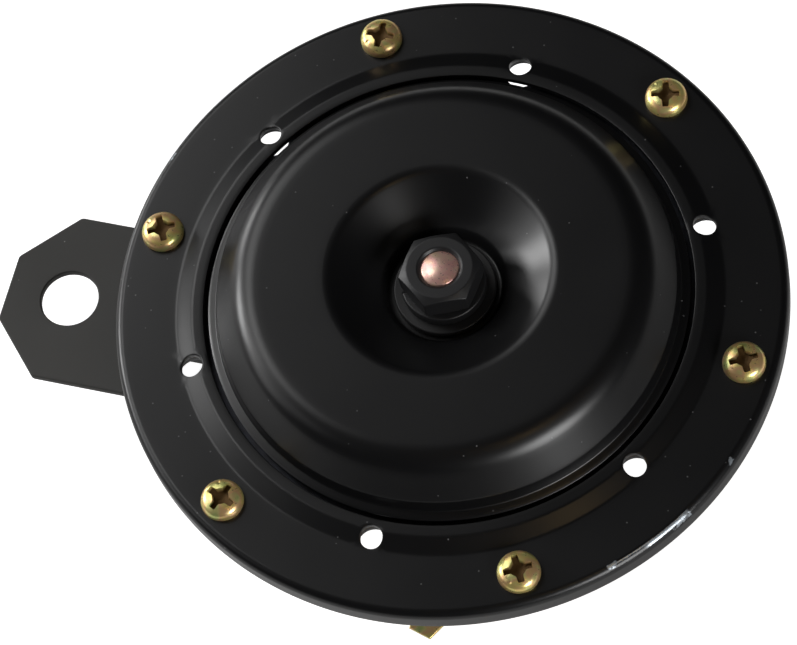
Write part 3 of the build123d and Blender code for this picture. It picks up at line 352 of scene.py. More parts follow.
def place_group(tree, name, **inputs):
    """A shared group in a material, with its inputs fed by name."""
    node = tree.nodes.new("ShaderNodeGroup")
    node.node_tree = bpy.data.node_groups[name]
    for key, value in inputs.items():
        feed(tree, node.inputs[key.replace("_", " ")], value)
    return node.outputs[0]


def finish_shader(tree, output, color, roughness, peel_scale, peel_strength, **settings):
    """A Principled shader with a varying colour and roughness, and with orange peel."""
    peel = place_group(tree, "orange_peel", Scale=peel_scale, Strength=peel_strength)
    shader = add_node(tree, "BsdfPrincipled", Base_Color=color, Roughness=roughness, Normal=peel, **settings)
    feed(tree, output.inputs["Surface"], shader.outputs[0])


# %% [markdown]
# The black is a stoving paint: smooth, faintly uneven in gloss, with orange peel and a little dust. The
# ring has been knocked about on its edge, so its black is a variant with rubs in it, where pale steel
# shows. The strip is dipped in a dull paint, and the can in a satin one.

# %% Paints
GLOSS_CLOUDS = 60.0        # how fine the unevenness of a paint's gloss is, per metre
GLOSS_SPREAD = (0.88, 1.14)   # the roughness drifts between these shares of its own value
PAINT_PEEL = 900.0
DUST_CELLS = 1100.0
BARE_STEEL = (0.42, 0.46, 0.50, 1.0)
BARE_METALLIC = 0.7
DUST_PALER = (3, 0.10)     # dust is so many times the paint's colour, and so much more
RIM_RUBS = [               # angle, half width, radius, reach and grain
    (-47.0, 2.2, 59.0, 0.9, 1.1), (-36.0, 6.0, 59.25, 0.45, 0.35), (-33.0, 4.0, 59.6, 0.6, 1.0),
    (-20.0, 1.6, 59.2, 0.9, 1.2), (-43.0, 9.0, 59.0, 0.25, 0.9), (163.0, 3.0, 59.3, 0.5, 1.2),
]


def paint_material(name, color, roughness, peel_strength, dust_share, peel_scale=PAINT_PEEL, rubs=()):
    """Paint, board or plastic. rubs are rows for the places where an edge has been rubbed bare."""
    _, tree, output = new_material(name)
    dusty = tuple(min(1.0, part * DUST_PALER[0] + DUST_PALER[1]) for part in color)
    specks = place_group(tree, "dust", Density=dust_share, Size=DUST_CELLS)
    tint = mix_color(tree, specks, (*color, 1.0), (*dusty, 1.0))
    settings = {}
    if rubs:
        bare = 0.0
        for angle, half_width, radius, reach, grain in rubs:
            rub = place_group(tree, "rubbed_edge", Angle=math.radians(angle),
                              Half_Width=math.radians(half_width), Radius=radius * mm, Reach=reach * mm,
                              Grain=grain)
            bare = math_node(tree, "MAXIMUM", bare, rub)
        tint = mix_color(tree, bare, tint, BARE_STEEL)
        settings["Metallic"] = math_node(tree, "MULTIPLY", bare, BARE_METALLIC)
    lowest, highest = (roughness * share for share in GLOSS_SPREAD)
    gloss = spread(tree, object_noise(tree, GLOSS_CLOUDS, 3.0), lowest, highest)
    finish_shader(tree, output, tint, gloss, peel_scale, peel_strength, **settings)


paint_material("gloss_black_paint", (0.006, 0.006, 0.0065), 0.30, 0.25, 0.012)
paint_material("rim_black_paint", (0.006, 0.006, 0.0065), 0.30, 0.25, 0.030, rubs=RIM_RUBS)
paint_material("satin_black_paint", (0.014, 0.014, 0.015), 0.42, 0.35, 0.010)
paint_material("matt_black_paint", (0.052, 0.051, 0.048), 0.62, 0.8, 0.02, 1600.0)
paint_material("gasket_board", (0.14, 0.11, 0.085), 0.85, 1.0, 0.0, 2400.0)
paint_material("nylon", (0.74, 0.71, 0.62), 0.45, 0.3, 0.0)
paint_material("phenolic", (0.15, 0.075, 0.04), 0.40, 0.4, 0.0)
paint_material("wire_insulation", (0.35, 0.03, 0.02), 0.38, 0.3, 0.0)
print("paints", len(bpy.data.materials))

# %% [markdown]
# Bare metals differ only in their two tones and their gloss, so they are rows of one table.

# %% Metals
STAIN_SCALE = 500.0
STAIN_SPAN = (0.35, 0.65)  # where on the noise one tone turns into the other
GRAIN_SCALE = 2500.0
GRAIN_SPREAD = (0.8, 1.25)
METAL_PEEL = (3000.0, 0.15)   # scale and strength
METALS = {                 # two tones between which the metal drifts, and its roughness
    "bright_steel": ((0.56, 0.56, 0.55), (0.48, 0.48, 0.48), 0.30),
    "spring_steel": ((0.060, 0.063, 0.075), (0.045, 0.045, 0.050), 0.36),
    "tinned_brass": ((0.76, 0.66, 0.38), (0.66, 0.58, 0.36), 0.28),
    "contact_metal": ((0.70, 0.70, 0.68), (0.60, 0.60, 0.60), 0.18),
    "can_aluminium": ((0.76, 0.76, 0.77), (0.70, 0.70, 0.71), 0.34),
    "enamelled_copper": ((0.60, 0.22, 0.08), (0.48, 0.15, 0.05), 0.24),
}
for name, (color, other_color, roughness) in METALS.items():
    _, tree, output = new_material(name)
    drift = spread(tree, object_noise(tree, STAIN_SCALE), 0.0, 1.0, *STAIN_SPAN)
    tint = mix_color(tree, drift, (*color, 1.0), (*other_color, 1.0))
    lowest, highest = (roughness * share for share in GRAIN_SPREAD)
    gloss = spread(tree, object_noise(tree, GRAIN_SCALE), lowest, highest)
    finish_shader(tree, output, tint, gloss, *METAL_PEEL, Metallic=1.0)
print("metals", list(METALS))

# %% [markdown]
# Chromate over zinc is a film so thin that its colour comes from its thickness: green, straw and pink
# drift over one screw head. A colour ramp over smooth noise does that. Inside a driver recess, which the
# screw's mesh marks by its depth, the colour is mixed to brown as painted shade, and the gloss is duller.

# %% Platings
PLATING_METALLIC = 0.70
FILM_SCALE = 330.0
FILM_START = 0.28          # where on the noise the ramp begins
FILM_SPAN = 0.44           # and how much of the noise it covers
SUNK_DULLNESS = 0.25
SHINE_SCALE = 1500.0
PLATING_PEEL = (2400.0, 0.25)
# painted shade: the brown that darkens a screw's driver recess
RECESS_SHADE_BROWN = (0.10, 0.055, 0.018, 1.0)
ZINC_TONES = [(0.60, 0.66, 0.20), (0.86, 0.80, 0.30), (0.96, 0.74, 0.26), (0.96, 0.60, 0.30),
              (0.88, 0.78, 0.32), (0.64, 0.70, 0.26)]
STUD_TONES = [(0.92, 0.62, 0.40), (0.95, 0.52, 0.48), (0.96, 0.66, 0.52), (0.90, 0.72, 0.42)]


def plating_material(name, tones, shine):
    """Plating. tones are the colours that its film drifts through, shine its lowest and highest roughness."""
    _, tree, output = new_material(name)
    ramp = add_node(tree, "ValToRGB", Fac=object_noise(tree, FILM_SCALE, 1.5, 0.55))
    elements = ramp.color_ramp.elements
    for index, color in enumerate(tones):
        element = elements[index] if index < 2 else elements.new(1.0)
        element.position = FILM_START + FILM_SPAN * index / (len(tones) - 1)
        element.color = (*color, 1.0)
    # the recess's depth mixes the film's colour to brown: painted shade
    sunk_shade = tree.nodes.new("ShaderNodeAttribute")
    sunk_shade.attribute_name = "sunk_shade"
    tint = mix_color(tree, sunk_shade.outputs["Fac"], ramp.outputs["Color"], RECESS_SHADE_BROWN)
    gloss = spread(tree, object_noise(tree, SHINE_SCALE), *shine)
    gloss = math_node(tree, "MULTIPLY_ADD", sunk_shade.outputs["Fac"], SUNK_DULLNESS, gloss)
    finish_shader(tree, output, tint, gloss, *PLATING_PEEL, Metallic=PLATING_METALLIC)


plating_material("yellow_zinc", ZINC_TONES, (0.22, 0.38))
plating_material("stud_end_film", STUD_TONES, (0.20, 0.40))
print("materials", len(bpy.data.materials))

# %% Give every piece of the frame its finish
slot_of = {row["node"]: row["material_slot"] for row in frame["record"]["subparts"]}
for node_name, node_object in nodes.items():
    node_object.data.materials.clear()
    node_object.data.materials.append(bpy.data.materials[slot_of[node_name]])
print("finishes in use", sorted(set(slot_of.values())))

# %% [markdown]
# ## Meshes from rings of points
# Pressings, nuts and screws are all made by one idea: a stack of rings of points, with four-sided faces
# between each ring and the next. It gives even, closed meshes whose every edge is where we put it, which
# cutting shapes out of each other doesn't. Sizes are in millimetres here; the last step of each piece
# turns them into metres.

# %% Skin rings of points


def skin(bm, rings, closed=False, first_tip=None, last_tip=None):
    """Faces between successive rings of points. closed joins the last ring to the first. A tip is the
    middle of a fan that covers an end. A ring may hold points, or corners that the mesh already has."""
    made = [[spot if isinstance(spot, bmesh.types.BMVert) else bm.verts.new(spot) for spot in ring]
            for ring in rings]
    pairs = list(zip(made, made[1:])) + ([(made[-1], made[0])] if closed else [])
    for one, other in pairs:
        for corners in zip(one, other, other[1:] + other[:1], one[1:] + one[:1]):
            bm.faces.new(corners)
    for ring, tip in ((made[0], first_tip), (made[-1], last_tip)):
        if tip is not None:
            middle = bm.verts.new(tip)
            for one, other in zip(ring, ring[1:] + ring[:1]):
                bm.faces.new((one, other, middle))


def circle(radius, height, steps):
    """A ring of points about the horn's axis."""
    return [Vector((radius * math.cos(math.tau * k / steps), radius * math.sin(math.tau * k / steps), height))
            for k in range(steps)]


# %% Turn a mesh into a piece
CREASE = 34.0              # edges bent by more than this many degrees stay sharp
THREAD_CREASE = 50.0


def dress(name, mesh, finish, body="horn_body", stands_for=None, crease=CREASE):
    """Gives a finished mesh its smooth shading, its finish and its body. It may stand for a plain node."""
    mesh.shade_smooth()
    mesh.set_sharp_from_angle(angle=math.radians(crease))
    mesh.materials.append(bpy.data.materials[finish])
    piece = bpy.data.objects.new(name, mesh)
    bpy.context.scene.collection.objects.link(piece)
    even_shading = piece.modifiers.new("even_shading", "WEIGHTED_NORMAL")
    even_shading.keep_sharp = True
    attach(piece, body)
    if stands_for:
        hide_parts(stands_for)
    print(name, len(mesh.polygons), "faces")
    return piece


def make_piece(name, bm, finish, body="horn_body", stands_for=None, place=None, crease=CREASE):
    """Turns a mesh in millimetres into a dressed piece in metres."""
    bmesh.ops.recalc_face_normals(bm, faces=bm.faces)
    bm.transform(Matrix.Scale(mm, 4) @ (place or Matrix()))
    mesh = bpy.data.meshes.new(name)
    bm.to_mesh(mesh)
    bm.free()
    return dress(name, mesh, finish, body, stands_for, crease)


def turned_by(degrees):
    """A turn about the Z axis."""
    return Matrix.Rotation(math.radians(degrees), 4, "Z")


def box_mm(node):
    """The lowest and highest corner of a plain node, in millimetres."""
    low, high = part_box(node)
    return low / mm, high / mm


# %% [markdown]
# A section is drawn the way a toolmaker dimensions it: sharp corners first, then a radius for each. The
# helper below replaces every corner by its round, and spaces the points so that a long straight stretch
# has some too.

# %% Rounded runs
BEND_STEP = 8.0            # degrees of bend between two points of a round corner


def corner_arc(before, corner, after, radius):
    """The round that replaces a corner: its points, each with the way the run goes there."""
    arriving, leaving = (corner - before).normalized(), (after - corner).normalized()
    bend = math.atan2(arriving.cross(leaving), arriving.dot(leaving))
    start = corner - arriving * radius * math.tan(abs(bend) / 2)
    middle = start + Vector((-arriving.y, arriving.x)) * math.copysign(radius, bend)
    steps = max(2, math.ceil(math.degrees(abs(bend)) / BEND_STEP))
    turns = [Matrix.Rotation(bend * k / steps, 2) for k in range(steps + 1)]
    return [(middle + turn @ (start - middle), turn @ arriving) for turn in turns]


def rounded_run(corners, radii, longest=1.2):
    """Points along a run with rounded corners. Straight stretches get a point at least every longest."""
    corners = [Vector(corner) for corner in corners]
    run = [(corners[0], (corners[1] - corners[0]).normalized())]
    for before, corner, after, radius in zip(corners, corners[1:], corners[2:], radii):
        run += corner_arc(before, corner, after, radius)
    run.append((corners[-1], (corners[-1] - corners[-2]).normalized()))
    spaced = run[:1]
    for (start, _), (end, way) in zip(run, run[1:]):
        parts = math.ceil((end - start).length / longest)
        spaced += [(start.lerp(end, part / parts), way) for part in range(1, parts)]
        spaced.append((end, way))
    return spaced


def rounded_loop(corners, radii):
    """A closed outline with rounded corners."""
    corners = [Vector(corner) for corner in corners]
    loop = []
    for index, (corner, radius) in enumerate(zip(corners, radii)):
        loop += corner_arc(corners[index - 1], corner, corners[(index + 1) % len(corners)], radius)
    return [point for point, _ in loop]


# %% Sheet sections
def edge_corner(edge):
    """How far the middle of a rounded edge lies inside its sharp corner, each way."""
    return edge * (1 - math.sqrt(0.5))


def broken_edge(point, outward, inward, sheet, edge):
    """The cut end of a sheet between its two faces, with both of its edges rounded."""
    corner = edge_corner(edge)
    return [point - outward * corner + inward * corner, point + inward * edge,
            point + inward * (sheet - edge), point - outward * corner + inward * (sheet - corner)]


def sheet_section(run, sheet, edge):
    """The closed section of a bent sheet: the face along the run, its outer end, its other face, its inner
    end."""
    below = [Vector((way.y, -way.x)) for _, way in run]
    faces = []
    for depth in (0.0, sheet):
        face = [point + down * depth for (point, _), down in zip(run, below)]
        face[0] = face[0] + run[0][1] * edge
        face[-1] = face[-1] - run[-1][1] * edge
        faces.append(face)
    outer_end = broken_edge(run[-1][0], run[-1][1], below[-1], sheet, edge)
    inner_end = broken_edge(run[0][0], -run[0][1], below[0], sheet, edge)
    return faces[0] + outer_end + faces[1][::-1] + inner_end[::-1]


# %% [markdown]
# A pressing is its section spun round the axis. A hole in it is opened by taking out a patch of that
# regular grid and laying rings of faces from the patch's border to the round edge, down through the
# sheet, and out again on the other side. So the metal round a hole follows the pressing's own slope.

# %% Pressed sheets with round holes
TURNS = 360                # steps round a pressing
HOLE_MARGIN = 0.8          # the faces are laid out afresh this far round a hole
HOLE_SHARES = (0.5, 0.2, 0.0)   # where rings lie between a hole's edge and the border of its patch
HOLE_EDGE = 0.12
END_POINTS = 4             # points that broken_edge makes
SHEET = 1.2
SHEET_EDGE = 0.2


def height_at(face, radius):
    """The height of a pressing's face at that distance from the axis."""
    for one, other in zip(face, face[1:]):
        if min(one.x, other.x) <= radius <= max(one.x, other.x) and one.x != other.x:
            return one.y + (other.y - one.y) * (radius - one.x) / (other.x - one.x)
    return min(face, key=lambda point: abs(point.x - radius)).y


def cut_hole(bm, grid, section, count, angle, distance, radius):
    """Opens a round hole through both faces of a pressing, and returns the cells that it takes out."""
    room = radius + HOLE_MARGIN
    rows = [row for row in range(count) if abs(section[row].x - distance) < room]
    first, last = max(rows[0] - 1, 0), min(rows[-1] + 1, count - 1)
    half_span = math.ceil(room / (distance * math.tau / TURNS))
    middle = round(angle / 360 * TURNS)
    columns = [turn % TURNS for turn in range(middle - half_span, middle + half_span + 1)]
    around = [(column, first) for column in columns]
    around += [(columns[-1], row) for row in range(first + 1, last + 1)]
    around += [(column, last) for column in columns[-2::-1]]
    around += [(columns[0], row) for row in range(last - 1, first, -1)]
    lower_row = 2 * count + END_POINTS - 1
    centre = Vector((distance * math.cos(math.radians(angle)), distance * math.sin(math.radians(angle))))
    spokes = [(grid[column][row].co.xy - centre).normalized() for column, row in around]
    sides = []
    for rows_of_face, inward in ((lambda row: row, -1), (lambda row: lower_row - row, 1)):
        border = [grid[column][rows_of_face(row)] for column, row in around]
        face = [section[rows_of_face(row)] for row in range(first, last + 1)]
        rings = [border]
        for share in HOLE_SHARES:
            spots = [(centre + spoke * (radius + HOLE_EDGE)).lerp(corner.co.xy, share)
                     for spoke, corner in zip(spokes, border)]
            rings.append([Vector((*spot, height_at(face, spot.length))) for spot in spots])
        for out, down in ((edge_corner(HOLE_EDGE), edge_corner(HOLE_EDGE)), (0.0, HOLE_EDGE)):
            spots = [centre + spoke * (radius + out) for spoke in spokes]
            rings.append([Vector((*spot, height_at(face, spot.length) + inward * down)) for spot in spots])
        sides.append(rings)
    skin(bm, sides[0] + sides[1][::-1])
    taken = {(column, row) for column in columns[:-1] for row in range(first, last)}
    return taken | {(column, lower_row - 1 - row) for column, row in taken}


def pressing(run, holes=()):
    """A round pressed sheet about the horn's axis. holes are (angle, distance from the axis, radius)."""
    section = sheet_section(run, SHEET, SHEET_EDGE)
    bm = bmesh.new()
    grid = []
    for turn in range(TURNS):
        around = Matrix.Rotation(math.tau * turn / TURNS, 3, "Z")
        grid.append([bm.verts.new(around @ Vector((point.x, 0, point.y))) for point in section])
    taken = set()
    for angle, distance, radius in holes:
        taken |= cut_hole(bm, grid, section, len(run), angle, distance, radius)
    for turn in range(TURNS):
        one, other = grid[turn], grid[(turn + 1) % TURNS]
        for row in range(len(section)):
            if (turn, row) not in taken:
                above = (row + 1) % len(section)
                bm.faces.new((one[row], other[row], other[above], one[above]))
    bmesh.ops.delete(bm, geom=[corner for corner in bm.verts if not corner.link_faces], context="VERTS")
    return bm


# %% [markdown]
# ## Rim ring
# The ring clamps the diaphragm to the housing. It is a flat flange with a turned-down skirt, and its
# inner band rises as a short cone to a level lip. How the band's highlight fades depends on the radii of
# the bends at both ends of that cone, so the run is drawn with exactly those.

# %% Make the rim ring
HOLE_COUNT = 6
SCREW_CIRCLE_R = 54.0
SCREW_ANGLE = 57.65
SCREW_HOLE_R = 2.25
HOLE_CIRCLE_R = 46.9
HOLE_ANGLE = 28.2
HOLE_R = 2.0
LOWER_HOLE_R = 3.0         # through the housing's flange
RING_FLAT_R = 48.75
RING_LIP_R = 43.65
RING_LIP_WIDTH = 2.1
RING_BENDS = [1.8, 2.0, 1.6]

ring_low, ring_high = box_mm("clamp_ring")
ring_r = ring_high.x


def six(angle, distance, radius):
    """Six holes, or six places, evenly round the axis."""
    return [(angle + 360 / HOLE_COUNT * k, distance, radius) for k in range(HOLE_COUNT)]


ring_run = rounded_run(
    [(RING_LIP_R, ring_high.z), (RING_LIP_R + RING_LIP_WIDTH, ring_high.z), (RING_FLAT_R, 0.0),
     (ring_r, 0.0), (ring_r, ring_low.z)], RING_BENDS)
screw_holes = six(SCREW_ANGLE, SCREW_CIRCLE_R, SCREW_HOLE_R)
ring_holes = screw_holes + six(HOLE_ANGLE, HOLE_CIRCLE_R, HOLE_R)
make_piece("rim_ring", pressing(ring_run, ring_holes), "rim_black_paint", stands_for="clamp_ring")

# %% [markdown]
# ## Tone disc
# The disc on the stud rings when the diaphragm strikes it. It is one pressing: a foot that turns out
# inside the ring's lip, a coned shoulder, a wide flat top, and a deep coned recess that seats the washer.

# %% Make the tone disc
DISC_SEAT_Z = 2.8
DISC_SEAT_R = 10.1
DISC_STEP = (11.0, 5.2)    # where the steep step round the seat meets the recess's cone
DISC_RECESS_R = 19.8
DISC_SHOULDER_R = 35.7
DISC_CREASE = (40.8, 4.3)  # where the shoulder's cone turns down to the foot
DISC_FLANGE = (41.3, 1.6)  # where the foot turns out
DISC_FOOT_Z = 1.1
DISC_BENDS = [0.7, 1.4, 3.4, 6.0, 1.3, 0.4]
BORE_R = 4.1

disc_low, disc_high = box_mm("tone_disc")
disc_run = rounded_run(
    [(BORE_R, DISC_SEAT_Z), (DISC_SEAT_R, DISC_SEAT_Z), DISC_STEP, (DISC_RECESS_R, disc_high.z),
     (DISC_SHOULDER_R, disc_high.z), DISC_CREASE, DISC_FLANGE, (disc_high.x, DISC_FOOT_Z)], DISC_BENDS)
make_piece("tone_disc_pressing", pressing(disc_run), "gloss_black_paint", "vibrator", "tone_disc")

# %% [markdown]
# ## Housing
# The can behind the ring is deep-drawn from the same sheet: a flat flange, a sloping dish, and the can
# with rounded corners. Only its flange's holes show, so only those are cut.

# %% Make the housing
CAN_INNER_R = 29.8
DISH_INNER = (36.9, -6.8)  # radius, and height from the flange
DISH_OUTER_R = 42.7
CAN_TOP = -7.8
HOUSING_BENDS = [2.5, 2.0, 2.5, 2.0]

housing_low, housing_high = box_mm("housing")
can_floor = housing_low.z + SHEET
flange_z = housing_high.z
housing_run = rounded_run(
    [(BORE_R, can_floor), (CAN_INNER_R, can_floor), (CAN_INNER_R, flange_z + CAN_TOP),
     (DISH_INNER[0], flange_z + DISH_INNER[1]), (DISH_OUTER_R, flange_z), (housing_high.x, flange_z)],
    HOUSING_BENDS)
housing_holes = screw_holes + six(HOLE_ANGLE, HOLE_CIRCLE_R, LOWER_HOLE_R)
make_piece("housing_pressing", pressing(housing_run, housing_holes), "satin_black_paint",
           stands_for="housing")

# %% [markdown]
# ## Threads, nuts and washers
# A nut's chamfer is a cone, and where it meets the flats it leaves six curves. Those come out by
# themselves when each point of the nut's outside is dropped by the cone's slope at its own radius. A
# thread is a ring of points whose radius swings in and out as the ring climbs.

# %% Nuts
NUT_STEPS = 96
NUT_FACE = 0.9             # the round end face, of half the width across flats
NUT_CHAMFER = math.tan(math.radians(30))
NUT_BORE = 0.84            # the thread's crests stand in to this share of the nominal radius
COUNTERSINK = 0.15         # width and depth, as a share of the nominal radius
SHARPER_THAN = 28          # degrees: only such edges are rounded


def nut_mesh(flats, low, high, thread_r):
    """A hexagon nut: bore, countersinks, round end faces, chamfers and flats, as one closed skin."""
    face_r = flats / 2 * NUT_FACE
    bore_r = thread_r * NUT_BORE
    sink = thread_r * COUNTERSINK
    lower, upper = [], []
    for k in range(NUT_STEPS):
        angle = math.tau * k / NUT_STEPS
        from_flat = angle % (math.pi / 3) - math.pi / 6
        reach = flats / 2 / math.cos(from_flat)
        drop = (reach - face_r) * NUT_CHAMFER
        x, y = reach * math.cos(angle), reach * math.sin(angle)
        lower.append(Vector((x, y, low + drop)))
        upper.append(Vector((x, y, high - drop)))
    bm = bmesh.new()
    skin(bm, [
        circle(bore_r, low + sink, NUT_STEPS), circle(bore_r + sink, low, NUT_STEPS),
        circle(face_r, low, NUT_STEPS), lower, upper,
        circle(face_r, high, NUT_STEPS), circle(bore_r + sink, high, NUT_STEPS),
        circle(bore_r, high - sink, NUT_STEPS),
    ], closed=True)
    return bm


def soften(piece, width):
    """Rounds the sharp edges of a piece by a bevel that leaves its gentle edges alone."""
    rounding = piece.modifiers.new("rounding", "BEVEL")
    rounding.limit_method = "ANGLE"
    rounding.angle_limit = math.radians(SHARPER_THAN)
    rounding.width = width * mm
    rounding.segments = 2
    piece.modifiers.move(len(piece.modifiers) - 1, 0)


# %% Threads
THREAD_ROWS = 9            # rings for each turn of a thread
THREAD_STEPS = 72
THREAD_DEPTH = 0.55        # of the pitch
FLANK = 1.25               # how steeply the V's sides climb


def thread_rings(radius, pitch, low, high, low_chamfer, high_chamfer, steps=THREAD_STEPS):
    """Rings up a rod with a V thread. Each end is chamfered by so much."""
    rows = math.ceil((high - low) / pitch * THREAD_ROWS)
    rings = []
    for row in range(rows + 1):
        z = low + (high - low) * row / rows
        cone = radius - max(0.0, low_chamfer - (z - low), high_chamfer - (high - z))
        ring = []
        for k in range(steps):
            along = (z / pitch - k / steps) % 1
            groove = max(0.0, 1 - FLANK * abs(2 * along - 1))
            reach = min(radius - groove * pitch * THREAD_DEPTH, cone)
            angle = math.tau * k / steps
            ring.append(Vector((reach * math.cos(angle), reach * math.sin(angle), z)))
        rings.append(ring)
    return rings


# %% [markdown]
# A washer or a rivet is turned: its half section spun round its own axis. A spring washer is a section
# carried once round, climbing a little, and cut aslant where it starts and ends.

# %% Washers
TURNED_STEPS = TURNS // 3
DEBURRED = 0.12            # the radius of an edge that was only deburred
SPLIT_SLANT = 0.55         # how far round the cut leans, in millimetres for each millimetre of height
SPLIT_GAP = 1.0
SPLIT_LIFT = 0.10          # how far each end stays out of the flat
SPRING_EDGES = [0.15, 0.35, 0.35, 0.15]


def turned(profile, steps=TURNED_STEPS):
    """A turned piece. Its profile is (radius, height) points; an end on the axis is closed by a fan."""
    bm = bmesh.new()
    profile = [Vector(point) for point in profile]
    tips = [Vector((0, 0, end.y)) if end.x == 0 else None for end in (profile[0], profile[-1])]
    rings = [circle(point.x, point.y, steps) for point in profile if point.x > 0]
    skin(bm, rings, closed=tips == [None, None], first_tip=tips[0], last_tip=tips[1])
    return bm


def washer_mesh(outer_r, bore_r, low, high, rolled):
    """A punched washer: its upper rim is rolled over, its lower one only deburred."""
    corners = [(bore_r, low), (outer_r, low), (outer_r, high), (bore_r, high)]
    return turned(rounded_loop(corners, [DEBURRED, DEBURRED, rolled, rolled]))


def spring_washer_mesh(outer_r, bore_r, low, high, split_angle):
    """A split spring washer, pressed nearly flat: its ends stay a little apart in height."""
    section = rounded_loop(
        [(bore_r, low + SPLIT_LIFT), (outer_r, low + SPLIT_LIFT),
         (outer_r, high - SPLIT_LIFT), (bore_r, high - SPLIT_LIFT)], SPRING_EDGES)
    middle_r = (bore_r + outer_r) / 2
    rings = []
    for k in range(TURNED_STEPS + 1):
        share = k / TURNED_STEPS
        climb = SPLIT_LIFT * (1 - 2 * share)
        ring = []
        for point in section:
            lean = SPLIT_SLANT * (point.y - (low + high) / 2)
            angle = math.radians(split_angle) + (SPLIT_GAP / 2 + lean) / middle_r
            angle += share * (math.tau - SPLIT_GAP / middle_r)
            ring.append(Vector((point.x * math.cos(angle), point.x * math.sin(angle), point.y + climb)))
        rings.append(ring)
    bm = bmesh.new()
    tips = [sum(ring, Vector()) / len(ring) for ring in (rings[0], rings[-1])]
    skin(bm, rings, first_tip=tips[0], last_tip=tips[1])
    return bm


# %% [markdown]
# ## Nut, washers and stud in the middle of the disc
# The stud comes up through the disc's recess. On it sit a plain washer, a spring washer and an M8 nut,
# painted black with the disc, while the stud's end shows its plating. The same three pieces hold the
# bracket at the rear, so one helper makes both sets.

# %% Make the centre fastening
M8_FLATS = 13.0
M8_R = 4.0
WASHER_BORE_R = 4.2
DISC_NUT_TURN = 22.8
NUT_EDGE = 0.16


def m8_fastening(part, finish, body, rolled, split_angle, nut_turn):
    """A plain washer, a spring washer and a nut, which stand for the part's three plain nodes."""
    low, high = box_mm(f"{part}_washer")
    washer = washer_mesh(high.x, WASHER_BORE_R, low.z, high.z, rolled)
    make_piece(f"{part}_plain_washer", washer, finish, body, f"{part}_washer")
    low, high = box_mm(f"{part}_spring_washer")
    washer = spring_washer_mesh(high.y, BORE_R, low.z, high.z, split_angle)
    make_piece(f"{part}_lock_washer", washer, finish, body, f"{part}_spring_washer")
    low, high = box_mm(f"{part}_nut")
    nut = nut_mesh(M8_FLATS, low.z, high.z, M8_R)
    soften(make_piece(f"{part}_hexagon_nut", nut, finish, body, f"{part}_nut", turned_by(nut_turn)), NUT_EDGE)


m8_fastening("disc", "satin_black_paint", "vibrator", rolled=0.3, split_angle=200.0, nut_turn=DISC_NUT_TURN)

# %% Make the stud
STUD_R = 3.95
STUD_PITCH = 1.25
STUD_CHAMFER = 0.85
STUD_HEAD = (4.9, 2.2)     # radius and height
stud_low, stud_high = box_mm("armature_stud")
head_z = stud_low.z + STUD_HEAD[1]
rings = [circle(STUD_HEAD[0], stud_low.z, THREAD_STEPS), circle(STUD_HEAD[0], head_z, THREAD_STEPS),
         circle(STUD_R, head_z, THREAD_STEPS)]
rings += thread_rings(STUD_R, STUD_PITCH, disc_low.z + SHEET, stud_high.z, 0.0, STUD_CHAMFER)
bm = bmesh.new()
skin(bm, rings, first_tip=Vector((0, 0, stud_low.z)), last_tip=Vector((0, 0, stud_high.z)))
make_piece("threaded_stud", bm, "stud_end_film", "vibrator", "armature_stud", crease=THREAD_CREASE)

# %% [markdown]
# ## Rim screws
# Six M4 pan-head screws with cross recesses hold the rim. The recess is star-shaped seen from above, so
# its mouth is one formula of the angle: the end of an arm, the side of an arm, and the round middle,
# whichever reaches furthest, blended softly. Each screw stopped at its own angle, and each head carries
# the small dimple of its pattern.

# %% The screw's head and recess
HEAD_R = 3.8
HEAD_BASE = 0.3            # where the head's side starts to curve in
HEAD_HEIGHT = 2.5
HEAD_POWER = 2.6           # 2 is a ball, more is a flatter pan
ARM_REACH = 2.6
ARM_HALF = 0.62
MIDDLE_R = 1.5
BLEND = 10                 # the higher, the crisper the corners between arms and middle
RECESS_DEPTH = 1.75
ARM_DEPTH = 1.0


def head_height(radius):
    """The pan head's height over its seat at a distance from the screw's axis."""
    crown = max(0.0, 1 - (radius / HEAD_R) ** HEAD_POWER) ** (1 / HEAD_POWER)
    return HEAD_BASE + (HEAD_HEIGHT - HEAD_BASE) * crown


def mouth_reach(angle):
    """How far the cross recess reaches in that direction."""
    from_arm = abs((angle + math.pi / 4) % (math.pi / 2) - math.pi / 4)
    end = ARM_REACH / math.cos(from_arm)
    side = ARM_HALF / max(math.sin(from_arm), 0.01)
    arm = (end**-BLEND + side**-BLEND) ** (-1 / BLEND)
    return (arm**BLEND + MIDDLE_R**BLEND) ** (1 / BLEND)


def recess_floor(radius):
    """The recess's floor falls from the arms' ends to the middle."""
    return HEAD_HEIGHT - RECESS_DEPTH + (RECESS_DEPTH - ARM_DEPTH) * min(1.0, radius / ARM_REACH)


# %% Shape one screw
SCREW_STEPS = 120
SCREW_R = 1.95
SCREW_PITCH = 0.7
SCREW_LENGTH = 11.0
SCREW_SHANK = 6.4          # the plain part under the head
SCREW_TIP = 0.6
RECESS_DRAFT = 0.22        # the floor is so much narrower than the mouth
LIP = (0.05, 0.09)         # the rounding of the mouth: inwards and downwards
CROWN_SHARE = 0.86         # of the head's radius, up to where its side turns down
CROWN_RINGS = 12
SIDE_SHARES = (0.91, 0.95, 0.98, 0.995, 1.0)
HEAD_EDGE = 0.12
DIMPLE = (45.0, 2.72, 0.42, 0.16)   # its angle, distance from the axis, radius and depth
FLOOR_SHARES = (0.5, 1.0)  # where rings lie on the recess's floor
RECESS_SHARE = 0.8         # of the head's radius: the recess lies inside it
SUNK_FROM, SUNK_OVER = 0.2, 0.4     # the painted shade in a recess starts at this depth, and is full over so much more
